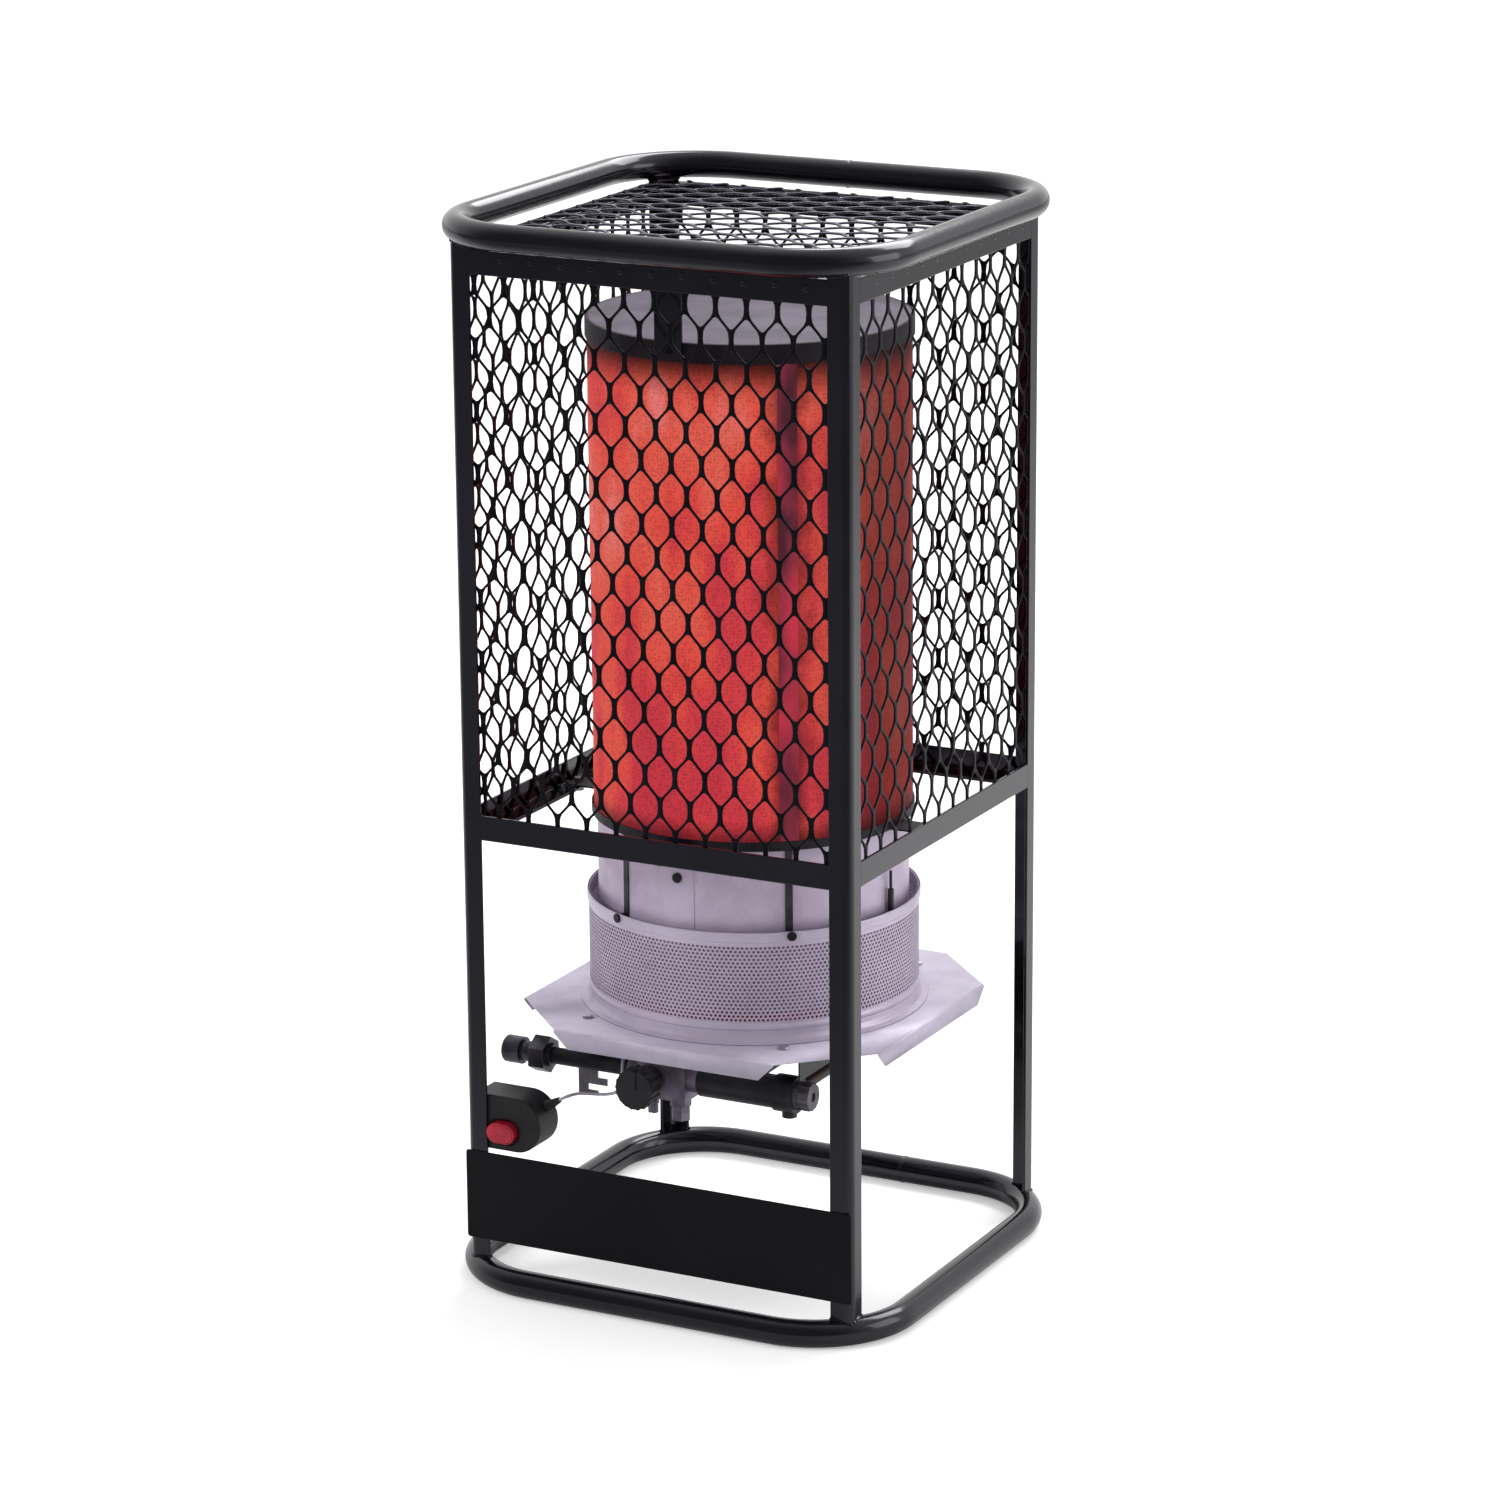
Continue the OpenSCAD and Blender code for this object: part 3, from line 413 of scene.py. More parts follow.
def rail_corners(low, flat_low):
    """L outline in (distance from the middle, height): upright leg outside, flat leg inwards."""
    high, flat_high = low + rail_deep, flat_low + leg_thick
    if flat_low == low:
        return [(post_in, low), (post_out, low), (post_out, high), (post_inner, high),
                (post_inner, flat_high), (post_in, flat_high)]
    return [(post_in, flat_high), (post_out, flat_high), (post_out, low), (post_inner, low),
            (post_inner, flat_low), (post_in, flat_low)]


side_turns = {"right": 0, "rear": 1, "left": 2, "front": 3}
for rail, low, flat_low in (("mid_rail_", 0.370, 0.370), ("top_rail_", 0.820, 0.8375)):
    outline = rounded_outline(rail_corners(low, flat_low), rail_rounding, steps=3)
    points, faces = prism(outline, -rail_half, rail_half)
    for side, k in side_turns.items():
        new_piece("angle_" + rail + side, quarter_turned(points[:, [0, 2, 1]], k), faces, enamel,
                  "frame_black", rail + side)


def copied(faces, count, size):
    """The faces of count like pieces whose points, size of them each, follow one another."""
    return (faces[None] + (np.arange(count) * size)[:, None, None]).reshape(-1, 4)


# Spot welds that hold the guards: a shallow crater with a raised lip every 26 mm along the upper
# rails, turned from the radii and heights below.
crater_r = np.array([0.0, 0.0009, 0.0016, 0.0022, 0.0027])
crater_z = np.array([0.0001, 0.00012, 0.0004, 0.00032, -0.00005])
crater_sides, weld_count = 14, 11
crater_a = round_angles(crater_sides)
crater = np.stack([np.broadcast_to(crater_z[:, None], (len(crater_z), crater_sides)),
                   np.outer(crater_r, np.cos(crater_a)), np.outer(crater_r, np.sin(crater_a))],
                  axis=2)
stations = (np.arange(weld_count) - 5) * 0.026 + 0.006
heights = 0.8325 + 0.0006 * np.sin(np.arange(weld_count) * 2.3)
weld_spots = np.stack([np.full(weld_count, post_out), stations, heights], axis=1)
weld_points = crater[None] + weld_spots[:, None, None]
weld_faces = copied(grid_faces(len(crater_r), crater_sides, loop_cols=True), weld_count,
                    len(crater_r) * crater_sides)
for side, k in side_turns.items():
    new_piece("spot_welds_" + side, quarter_turned(weld_points, k), weld_faces, enamel,
              "frame_black", solid=False, sharp=80.0)

# Guards
# Flattened expanded metal: a slit sheet pulled open and rolled flat, with long six-sided
# openings whose corners are soft. It is dip-painted black and spot-welded behind the rails.
short_pitch, long_pitch = 0.026, 0.0495
strand_thick = 0.0017
# a dip coat is thicker and duller than the frame's enamel; the grille's lilac grey is painted sheen
# from the back lamp
mesh_paint = painted("black_dipped_expanded_metal", "#08080c", "#101017", patch=0.05, grain=0.0022,
                     rough=(0.34, 0.48), relief=0.00005, Specular_IOR_Level=0.14,
                     Specular_Tint=violet_shine)
grille_painted_sheen = painted("dipped_grille_metal_painted_sheen", "#2a2833", "#3d3a4a", patch=0.05, grain=0.0022,
                       rough=(0.16, 0.3), relief=0.00005, Specular_IOR_Level=0.7,
                       Specular_Tint=(0.8, 0.76, 1.0, 1.0), Coat_Weight=0.3)


def six_sided(half_wide, shoulder, tip):
    """Corners of a hexagon with upright sides: at half_wide up to the shoulder, then to the tip."""
    return np.array([(half_wide, -shoulder), (half_wide, shoulder), (0, tip),
                     (-half_wide, shoulder), (-half_wide, -shoulder), (0, -tip)])


def strand_cell(upright_steps, slant_steps):
    """One opening with the half strands round it, as rings from the opening's edge to the cell's.

    Both are walked as hexagons with the same steps, so that neighbouring cells share their
    points. The opening's walk is averaged with its neighbours to round its corners.
    """
    counts = [upright_steps, slant_steps, slant_steps] * 2

    def walk(corners):
        return np.concatenate([corners[k] + (corners[(k + 1) % 6] - corners[k])
                               * np.arange(n)[:, None] / n for k, n in enumerate(counts)])

    inner = walk(six_sided(0.0111, 0.0061, 0.0179))
    outer = walk(six_sided(short_pitch / 2, 0.005875, 0.018875))
    inner = (np.roll(inner, 1, axis=0) + 2 * inner + np.roll(inner, -1, axis=0)) / 4
    share = np.array([0.0, 0.3, 1.0])[:, None, None]
    flat = inner + share * (outer - inner)
    thick = strand_thick * np.array([0.3, 0.5, 0.5])[:, None, None]
    thick = np.broadcast_to(thick, (*flat.shape[:2], 1))
    return np.concatenate([np.concatenate([flat, thick], axis=2),
                           np.concatenate([flat, -thick], axis=2)[::-1]])


def staggered(columns, rows, pitch, row_pitch, start=(0.0, 0.0)):
    """Centres in rows, each odd row n moved on by half a pitch: ((k + half) pitch, n row_pitch)."""
    k, n = np.meshgrid(columns, rows)
    return np.stack([start[0] + (k + n % 2 * 0.5) * pitch, start[1] + n * row_pitch],
                    axis=-1).reshape(-1, 2)


def expanded_sheet(centres, low, high):
    """Copies of the cell at the centres, cut off square at the sheet's edges."""
    cell = strand_cell(upright_steps=2, slant_steps=5)
    rows, n = cell.shape[:2]
    points = cell[None] + np.c_[centres, np.zeros(len(centres))][:, None, None]
    each = grid_faces(rows, n, loop_cols=True)
    rim = grid_faces(2, n, loop_cols=True)
    rim = np.where(rim < n, rim, rim - n + (rows - 1) * n)
    # rim walls the opening; the third band would wall off the neighbours, so it is left out
    each = np.concatenate([each[:2 * n], each[3 * n:], rim])
    mesh = bpy.data.meshes.new("sheet")
    mesh.from_pydata(points.reshape(-1, 3).tolist(), [],
                     copied(each, len(centres), rows * n).tolist())
    form = bmesh.new()
    form.from_mesh(mesh)
    bmesh.ops.remove_doubles(form, verts=form.verts, dist=same_point)
    for axis in (0, 1):
        for edge, sign in ((low[axis], -1), (high[axis], 1)):
            spot, way = np.zeros(3), np.zeros(3)
            spot[axis], way[axis] = edge, sign
            cut = bmesh.ops.bisect_plane(form, geom=form.verts[:] + form.edges[:] + form.faces[:],
                                         dist=1e-6, plane_co=spot, plane_no=way, clear_outer=True)
            rim = [g for g in cut["geom_cut"] if isinstance(g, bmesh.types.BMEdge)]
            bmesh.ops.holes_fill(form, edges=rim, sides=0)
    form.verts.index_update()
    points = np.array([v.co for v in form.verts])
    faces = [[v.index for v in f.verts] for f in form.faces]
    form.free()
    bpy.data.meshes.remove(mesh)
    return points, faces


screen_middle, grille_height = 0.1673, 0.8409
centres = staggered(np.arange(-8, 9), np.arange(-2, 21), short_pitch, long_pitch / 2,
                    start=(0.006, 0.3911))
points, faces = expanded_sheet(centres, (-0.1635, 0.3728), (0.1635, 0.8372))
across, up = points[:, 0], points[:, 1]
for side, sign in (("front", -1), ("rear", 1), ("left", -1), ("right", 1)):
    out = sign * (screen_middle + points[:, 2])
    placed = [across, out, up] if side in ("front", "rear") else [out, across, up]
    new_piece("expanded_screen_" + side, np.stack(placed, axis=1), faces, mesh_paint, "mesh_black",
              "screen_" + side, sharp=60.0)

centres = staggered(np.arange(-8, 9), np.arange(-8, 9), short_pitch, long_pitch / 2)
points, faces = expanded_sheet(centres, (-0.1664, -0.1664), (0.1664, 0.1664))
placed = np.stack([points[:, 1], -points[:, 0], grille_height + points[:, 2]], axis=1)
new_piece("expanded_top_grille", placed, faces, grille_painted_sheen, "mesh_black", "top_grille",
          sharp=60.0)


# Front plate
# A bare steel plate welded across the foot of the front posts, 343 x 74 x 1.5 mm, with
# slightly rounded corners, in the same black but flatter.
def rectangle(left, right, low, high):
    """Corners of an upright rectangle, from the lower left one round."""
    return [(left, low), (right, low), (right, high), (left, high)]


plate_paint = painted("black_enamel_plate", "#09090d", "#0e0e13", patch=0.12, grain=0.0025,
                      rough=(0.3, 0.4), relief=0.00003, Specular_IOR_Level=0.15)
outline = rounded_outline(rectangle(-0.1715, 0.1715, 0.037, 0.111), 0.0025, steps=6)
points, faces = prism(outline, post_out, post_out + 0.0015, chamfer=0.0004)
new_piece("bare_front_plate", np.c_[points[:, 0], -points[:, 2], points[:, 1]], faces, plate_paint,
          "frame_black", "front_plate")


# Emitter
# A rolled screen of perforated heat-resisting steel, 255 mm across, glowing in cloudy patches
# beside its dull lapped seam. A pressed steel cap closes it, with a black bracket down to it
# from the upper rail, and a blackened base ring carries it all on the middle rails.
def turned(profile, steps=144):
    """Surface of revolution about Z: each (radius, height) of the profile carried round once."""
    p = np.asarray(profile, float)
    a = round_angles(steps)[:, None]
    points = np.stack([p[:, 0] * np.cos(a), p[:, 0] * np.sin(a),
                       np.broadcast_to(p[:, 1], (steps, len(p)))], axis=2)
    return points, grid_faces(steps, len(p), True, True)


def set_stops(ramp, *stops):
    """Gives a colour ramp its stops, each a place from 0 to 1 and a colour."""
    elements = ramp.color_ramp.elements
    for element, (place, code) in zip(elements, (stops[0], stops[-1])):
        element.position, element.color = place, srgb(code)
    for place, code in stops[1:-1]:
        elements.new(place).color = srgb(code)


# Red-hot steel gives its own light: crimson below and orange above, in upright clouds about
# 60 mm across. Each node below is one of the things that brighten or dim it.
emitter_r, seam_angle = 0.1276, -0.873
glow, tree, shader = new_finish("glowing_perforated_steel")
place = add_node(tree, "ShaderNodeTexCoord").outputs["Object"]
parts = add_node(tree, "ShaderNodeSeparateXYZ", Vector=place).outputs
around = add_node(tree, "ShaderNodeMath", {"operation": "ARCTAN2"}, i0=parts["Y"], i1=parts["X"])
tall = add_node(tree, "ShaderNodeMapping", Vector=place, Scale=(1.0, 1.0, 0.35))
cloud = add_node(tree, "ShaderNodeTexNoise", Vector=tall, Scale=1 / 0.0588, Detail=3.0,
                 Roughness=0.6)
patches = add_node(tree, "ShaderNodeMapRange", Value=cloud, From_Min=0.3, From_Max=0.7)
rise = add_node(tree, "ShaderNodeMapRange", smooth, Value=parts["Z"], From_Min=0.40, From_Max=0.62,
                To_Min=-0.28, To_Max=0.1)
heat = add_node(tree, "ShaderNodeMath", plus, i0=patches, i1=rise)
ramp = add_node(tree, "ShaderNodeValToRGB", Fac=heat)
set_stops(ramp, (0.0, "#c03442"), (0.3, "#cc3c42"), (0.5, "#da4a40"), (0.75, "#dc5a4c"),
          (1.0, "#e07470"))
# the sheet's holes are too fine to show and are drawn as soft dark specks 2.8 mm apart
arc = add_node(tree, "ShaderNodeMath", times, i0=around, i1=emitter_r)
unrolled = add_node(tree, "ShaderNodeCombineXYZ", X=arc, Z=parts["Z"])
holes = add_node(tree, "ShaderNodeTexVoronoi", Vector=unrolled, Scale=1 / 0.0028,
                 Randomness=0.55).outputs["Distance"]
speck = add_node(tree, "ShaderNodeMapRange", Value=holes, From_Min=0.1, From_Max=0.62, To_Min=0.72,
                 To_Max=1.12)
low_edge = add_node(tree, "ShaderNodeMapRange", smooth, Value=parts["Z"], From_Min=0.381,
                    From_Max=0.399, To_Min=0.35, To_Max=1.0)
top_edge = add_node(tree, "ShaderNodeMapRange", smooth, Value=parts["Z"], From_Min=0.761,
                    From_Max=0.726, To_Min=0.04, To_Max=1.0)
# the sheet runs cooler right of the seam and warms again towards the left side
cooler = add_node(tree, "ShaderNodeMapRange", smooth, Value=around, From_Min=-0.86, From_Max=-0.2,
                  To_Min=0.92, To_Max=0.3)
warmer = add_node(tree, "ShaderNodeMapRange", smooth, Value=around, From_Min=0.5, From_Max=3.1,
                  To_Min=0.0, To_Max=0.62)
sideways = add_node(tree, "ShaderNodeMath", plus, i0=cooler, i1=warmer)
# a dark halo, ragged every 30 mm or so, lies along both sides of the seam
ragged = add_node(tree, "ShaderNodeTexNoise", Vector=place, Scale=1 / 0.0294, Detail=3.0)
past_seam = add_node(tree, "ShaderNodeMath", plus, i0=around, i1=-seam_angle)
from_seam = add_node(tree, "ShaderNodeMath", {"operation": "ABSOLUTE"}, i0=past_seam)
wander = add_node(tree, "ShaderNodeMath", {"operation": "MULTIPLY_ADD"}, i0=ragged, i1=-0.34,
                  i2=0.17)
off_seam = add_node(tree, "ShaderNodeMath", plus, i0=from_seam, i1=wander)
halo = add_node(tree, "ShaderNodeMapRange", smooth, Value=off_seam, From_Min=0.03, From_Max=0.2,
                To_Min=0.4, To_Max=1.0)
power = speck
for factor in (low_edge, top_edge, sideways, halo):
    power = add_node(tree, "ShaderNodeMath", times, i0=power, i1=factor)
bump = add_node(tree, "ShaderNodeBump", Height=holes, Distance=0.0003, Strength=1.0)
set_sockets(tree, shader, Base_Color=srgb("#200c0a"), Roughness=0.6, Specular_IOR_Level=0.12,
            Emission_Color=ramp, Emission_Strength=power, Normal=bump)

# heat leaves the thin sheet a little out of round: waves of 0.35 mm round it and along it
screen_low, screen_high, screen_thick, screen_steps = 0.3745, 0.7714, 0.001, 60
profile = np.stack([np.repeat([emitter_r, emitter_r - screen_thick], screen_steps),
                    np.concatenate([np.linspace(screen_low, screen_high, screen_steps),
                                    np.linspace(screen_high, screen_low, screen_steps)])], axis=1)
points, faces = turned(profile)
angle, height = np.arctan2(points[..., 1], points[..., 0]), points[..., 2]
wave = 1 - 0.0014 * (1 - np.cos(5 * angle + 9 * height)) - 0.0009 * (1 - np.sin(66 * height))
points[..., :2] *= wave[..., None]
new_piece("glowing_screen", points, faces, glow, "emitter_glow", "emitter_screen")


def bent_strip(angles, heights, inner, outer):
    """A closed strip bent round Z: r (cos a, sin a) at each height, for two radii r.

    A radius may differ from angle to angle. Walls join the two shells round their edge.
    """
    rows, cols = len(heights), len(angles)
    ones, up = np.ones(rows), np.outer(heights, np.ones(cols))
    shells = np.stack([np.stack([np.outer(ones, np.cos(angles) * r),
                                 np.outer(ones, np.sin(angles) * r), up], axis=2)
                       for r in (inner, outer)])
    rim = np.concatenate([np.arange(cols), np.arange(1, rows) * cols + cols - 1,
                          np.arange(cols - 2, -1, -1) + (rows - 1) * cols,
                          np.arange(rows - 2, 0, -1) * cols])
    after, size = np.roll(rim, -1), rows * cols
    walls = np.stack([rim, after, after + size, rim + size], axis=1)
    face = grid_faces(rows, cols)
    return shells, np.concatenate([face, face + size, walls])


# the lap: two thicknesses of sheet that never get as hot, dull maroon with sooty stretches
# about 70 mm long
lap, tree, shader = new_finish("dull_lapped_seam_steel")
tall = add_node(tree, "ShaderNodeMapping", Scale=(1.0, 1.0, 0.5),
                Vector=add_node(tree, "ShaderNodeTexCoord").outputs["Object"])
cloud = add_node(tree, "ShaderNodeTexNoise", Vector=tall, Scale=1 / 0.0357, Detail=3.0)
ramp = add_node(tree, "ShaderNodeValToRGB", Fac=cloud)
set_stops(ramp, (0.36, "#471a26"), (0.52, "#86283a"), (0.72, "#c23044"))
set_sockets(tree, shader, Base_Color=srgb("#241418"), Roughness=0.65, Specular_IOR_Level=0.15,
            Emission_Color=ramp, Emission_Strength=0.95)
points, faces = bent_strip(np.radians(np.linspace(-53.5, -46.5, 9)),
                           np.linspace(0.3808, 0.7572, 70), inner=0.1277, outer=0.1284)
new_piece("lapped_seam", points, faces, lap, "emitter_seam", "emitter_seam")

# the cap: dull grey on the disc; the skirt is the same steel with painted shade, nearly black
cap_steel = painted("heat_dulled_cap_steel", "#685f6e", "#7e7486", patch=0.045, grain=0.0016,
                    rough=(0.48, 0.62), relief=0.00006, metallic=0.55)
skirt_painted_shade = painted("cap_skirt_steel_painted_shade", "#18121a", "#2c222b", patch=0.03, grain=0.002,
                      rough=(0.5, 0.65), relief=0.00006, metallic=0.5)
disc = rounded_outline(rectangle(0.0004, 0.1268, 0.7712, 0.773), [0.0001, 0.0001, 0.0012, 0.0001],
                       steps=4)
new_piece("cap_disc", *turned(disc), cap_steel, "cap_grey", "emitter_cap")
skirt = rounded_outline([(0.1277, 0.7575), (0.129, 0.7575), (0.129, 0.7728), (0.1262, 0.7728),
                         (0.1262, 0.7716), (0.1277, 0.7716)],
                        [0.0004, 0.0004, 0.0011, 0.0003, 0.0003, 0.0003], steps=4)
new_piece("cap_skirt", *turned(skirt), skirt_painted_shade, "burnt_steel", "emitter_cap")


def dressed(node, finish, slot, soft, body="heater"):
    """A CAD node's own shape, doubles merged and flats joined, its edges softened by a bevel."""
    form = bmesh.new()
    form.from_mesh(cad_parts[node].data)
    bmesh.ops.remove_doubles(form, verts=form.verts, dist=2 * same_point)
    bmesh.ops.dissolve_limit(form, angle_limit=math.radians(1.0), verts=form.verts,
                             edges=form.edges)
    form.verts.index_update()
    points = [v.co[:] for v in form.verts]
    faces = [[v.index for v in f.verts] for f in form.faces]
    form.free()
    piece = new_piece("made_" + node, points, faces, finish, slot, node, body=body)
    if soft:
        bevel = piece.modifiers.new("soft_edges", "BEVEL")
        bevel.width = soft
        bevel.segments = 2
        bevel.limit_method = "ANGLE"
        bevel.angle_limit = math.radians(32)
        bevel.harden_normals = True


# the base ring is matt with scale; the zinc of the fasteners is pale, with small soft lights
burnt = painted("blackened_base_steel", "#17151a", "#2c272e", patch=0.03, grain=0.0015,
                rough=(0.45, 0.62), relief=0.00006, metallic=0.4)
plated = painted("zinc_plated_fasteners", "#a9a2b0", "#cbc5cf", patch=0.01, grain=0.0012,
                 rough=(0.28, 0.42), relief=0.00002, metallic=0.9)
dressed("cap_bracket", enamel, "frame_black", soft=0.0004)
dressed("emitter_base", burnt, "burnt_steel", soft=0.0004)
dressed("lug_bolts", plated, "plated_steel", soft=0.0005)


# Burner drum
# A rolled drum of galvanised sheet with a lapped upright seam and one rivet, hung
# from the base ring by four thin straps that are riveted to the collar.
def galvanised(name, dark, light, rough, contrast=0.35):
    """Hot-dipped zinc: crystals 11 mm across differ a little in tone, over cloudy dull stains.

    The crystals' edges wander every 6 mm, the stains are 70 mm and the grain 1.1 mm across.
    contrast is the crystals' share in the tone, and the stains have the rest.
    """
    material, tree, shader = new_finish(name)
    place = add_node(tree, "ShaderNodeTexCoord").outputs["Object"]
    warp = add_node(tree, "ShaderNodeTexNoise", Vector=place, Scale=1 / 0.00625, Detail=2.0)
    bent = add_node(tree, "ShaderNodeVectorMath", {"operation": "MULTIPLY_ADD"},
                    i0=warp.outputs["Color"], i1=(0.006, 0.006, 0.006), i2=place)
    crystal = add_node(tree, "ShaderNodeTexVoronoi", Vector=bent, Scale=1 / 0.011)
    tone = add_node(tree, "ShaderNodeSeparateColor", Color=crystal.outputs["Color"])
    stain = add_node(tree, "ShaderNodeTexNoise", Vector=place, Scale=1 / 0.0714, Detail=5.0,
                     Roughness=0.6)
    wide = add_node(tree, "ShaderNodeMapRange", Value=stain, From_Min=0.32, From_Max=0.68)
    mixed = add_node(tree, "ShaderNodeMix", {"data_type": "FLOAT"}, i0=contrast, i2=wide,
                     i3=tone.outputs["Red"])
    colour = add_node(tree, "ShaderNodeMix", colours, i0=mixed, i6=srgb(dark), i7=srgb(light))
    gloss = add_node(tree, "ShaderNodeMapRange", Value=tone.outputs["Green"], To_Min=rough[0],
                     To_Max=rough[1])
    grain = add_node(tree, "ShaderNodeTexNoise", Vector=place, Scale=1 / 0.00111, Detail=2.0)
    bump = add_node(tree, "ShaderNodeBump", Height=grain, Distance=0.00003, Strength=1.0)
    set_sockets(tree, shader, Base_Color=colour.outputs[2], Roughness=gloss, Normal=bump,
                Metallic=0.3)
    return material


drum_zinc = galvanised("galvanised_drum_sheet", "#b8a8c0", "#cdbfd5", rough=(0.38, 0.52))
drum_r, zinc_steps = 0.1245, 180
wall = rounded_outline(rectangle(drum_r - 0.0012, drum_r, 0.240, 0.3729), 0.0003, steps=2)
new_piece("rolled_drum", *turned(wall, zinc_steps), drum_zinc, "zinc_sheet", "burner_drum")

lap_steps = 13
lap_edges = np.zeros(lap_steps)
lap_edges[[0, -1]] = -0.0003
points, faces = bent_strip(np.radians(np.linspace(-97.0, -84.6, lap_steps)),
                           np.linspace(0.2402, 0.3728, 30), inner=drum_r - 0.0004,
                           outer=drum_r + 0.00085 + lap_edges)
new_piece("drum_lap_seam", points, faces, drum_zinc, "zinc_sheet", "burner_drum")

# rivets are thin steel darkened by heat, satin; the straps' satin dark grey and the ceramic rod's
# dull near black are painted shade
strap_painted_shade = painted("strap_steel_painted_shade", "#3c3840", "#59535e", patch=0.02, grain=0.0015,
                      rough=(0.35, 0.5), relief=0.00003, metallic=0.8)
dark_rivet = painted("dark_rivet_steel", "#201e24", "#35323a", patch=0.01, grain=0.001,
                     rough=(0.35, 0.5), relief=0.00003, metallic=0.6)
rod_painted_shade = painted("ceramic_rod_painted_shade", "#121114", "#24222a", patch=0.02, grain=0.0012,
                  rough=(0.4, 0.55), relief=0.00003)
dressed("drum_rivet", dark_rivet, "dark_steel", soft=0.0005)
dressed("drum_straps", strap_painted_shade, "plated_steel", soft=0.0003)
dressed("strap_rivets", dark_rivet, "dark_steel", soft=0.0005)
dressed("electrode", rod_painted_shade, "ceramic_dark", soft=0.0002)
dressed("electrode_nut", plated, "plated_steel", soft=0.0004)

# Intake collar
# A band of finely perforated galvanised sheet, 265 mm across, between a plain rolled
# rim and a beaded foot that is flanged onto the tray.
collar_r = 0.1325
# the perforated sheet looks darker and duller than its smooth rim and foot
collar_zinc = galvanised("galvanised_perforated_sheet", "#b0a1b6", "#c2b3c8", rough=(0.45, 0.55),
                         contrast=0.2)
rim_zinc = galvanised("galvanised_rolled_rim", "#b8abc0", "#cbbfd3", rough=(0.28, 0.38),
                      contrast=0.2)
rim = rounded_outline([(0.1313, 0.2965), (0.1328, 0.2965), (0.1328, 0.2995), (0.1338, 0.3012),
                       (0.1338, 0.3085), (0.1313, 0.3085)],
                      [0.0003, 0.0005, 0.0008, 0.0008, 0.0012, 0.0012], steps=4)
new_piece("collar_rolled_rim", *turned(rim, zinc_steps), rim_zinc, "zinc_sheet", "intake_collar")
foot = rounded_outline([(0.1313, 0.218), (0.140, 0.218), (0.140, 0.2191), (0.1349, 0.2204),
                        (0.1332, 0.2240), (0.1326, 0.2280), (0.1336, 0.2294), (0.1336, 0.2314),
                        (0.1326, 0.2330), (0.1326, 0.2345), (0.1313, 0.2345)],
                       [0.0003, 0.0005, 0.0005, 0.0018, 0.002, 0.0008, 0.0008, 0.0008, 0.0008,
                        0.0003, 0.0003], steps=4)
new_piece("collar_beaded_foot", *turned(foot, zinc_steps), rim_zinc, "zinc_sheet", "intake_collar")

# The holes are 2.3 mm in a triangle pattern of 3.6 mm. Each cell is a hexagon with the hole's
# hexagon in it; six quads outside, six inside and six in the hole, bent round the collar. The
# band is made in four parts, to keep each one's mesh small.
holes_around, hole_rows, band_parts = 232, 21, 4
hole_pitch = 2 * math.pi * collar_r / holes_around
row_pitch = hole_pitch * math.sqrt(3) / 2
hole_r, cell_r, band_thick = 0.00117, hole_pitch / math.sqrt(3), 0.0011
six = np.radians(30 + 60 * np.arange(6))
hexagon = np.stack([np.cos(six), np.sin(six)], axis=1)
sizes = np.array([cell_r, hole_r, hole_r, cell_r])[:, None, None]
depths = np.array([0.0, 0.0, band_thick, band_thick])[:, None]
each = grid_faces(len(sizes), 6, loop_cols=True)
per_part = holes_around // band_parts
for part in range(band_parts):
    centre = staggered(np.arange(part * per_part, (part + 1) * per_part), np.arange(hole_rows),
                       hole_pitch, row_pitch, start=(0.0, 0.2335))
    flat = centre[:, None, None] + hexagon * sizes
    turn = flat[..., 0] / collar_r
    points = np.stack([(collar_r - depths) * np.cos(turn), (collar_r - depths) * np.sin(turn),
                       flat[..., 1]], axis=-1)
    new_piece("collar_perforated_%d" % part, points, copied(each, len(centre), 6 * len(sizes)),
              collar_zinc, "zinc_sheet", "intake_collar", solid=False, sharp=50.0)

# Tray
# Galvanised sheet with clipped corners and four flanges folded down round 2 mm; two
# black channels under it carry the burner, with pan-head screws from above.
tray_zinc = galvanised("galvanised_tray_sheet", "#bdb4c9", "#d6cde0", rough=(0.34, 0.46),
                       contrast=0.3)
tray_half, tray_straight, tray_top, fold_r, fold_steps = 0.159, 0.097, 0.218, 0.002, 7
fold = np.linspace(0, np.pi / 2, fold_steps)
drop = np.concatenate([fold_r * (1 - np.cos(fold)), [0.0085, 0.0145]])
away = np.concatenate([tray_half - fold_r + fold_r * np.sin(fold), [tray_half, tray_half]])
taper = tray_straight - np.concatenate([np.zeros(fold_steps), [0.0065, 0.0125]])
flange = np.stack([np.stack([away, sign * taper, tray_top - drop], axis=1) for sign in (-1, 1)],
                  axis=1)
points = np.stack([quarter_turned(flange, k) for k in range(4)])
per_flange = 2 * len(drop)
top_face = [per_flange * k + end for k in range(4) for end in (0, 1)]
faces = copied(grid_faces(len(drop), 2), 4, per_flange).tolist() + [top_face]
tray = new_piece("folded_tray", points, faces, tray_zinc, "zinc_sheet", "tray", sharp=40.0)
sheet = tray.modifiers.new("sheet", "SOLIDIFY")
sheet.thickness = 0.0012
sheet.offset = -1.0

# the channels' enamel is rougher than the frame's and hardly shines
channel_paint = painted("black_enamel_channel", "#0f0f15", "#1a1a22", patch=0.05, grain=0.002,
                        rough=(0.35, 0.5), relief=0.00003)
dressed("channel_left", channel_paint, "frame_black", soft=0.0006)
dressed("channel_right", channel_paint, "frame_black", soft=0.0006)
dressed("tray_screws", plated, "plated_steel", soft=0.0011)

# Burner
# Inside the drum: a waisted steel tube with its flange, a cast pan head with rings of
# ports, and a brass orifice on the copper feed tube.

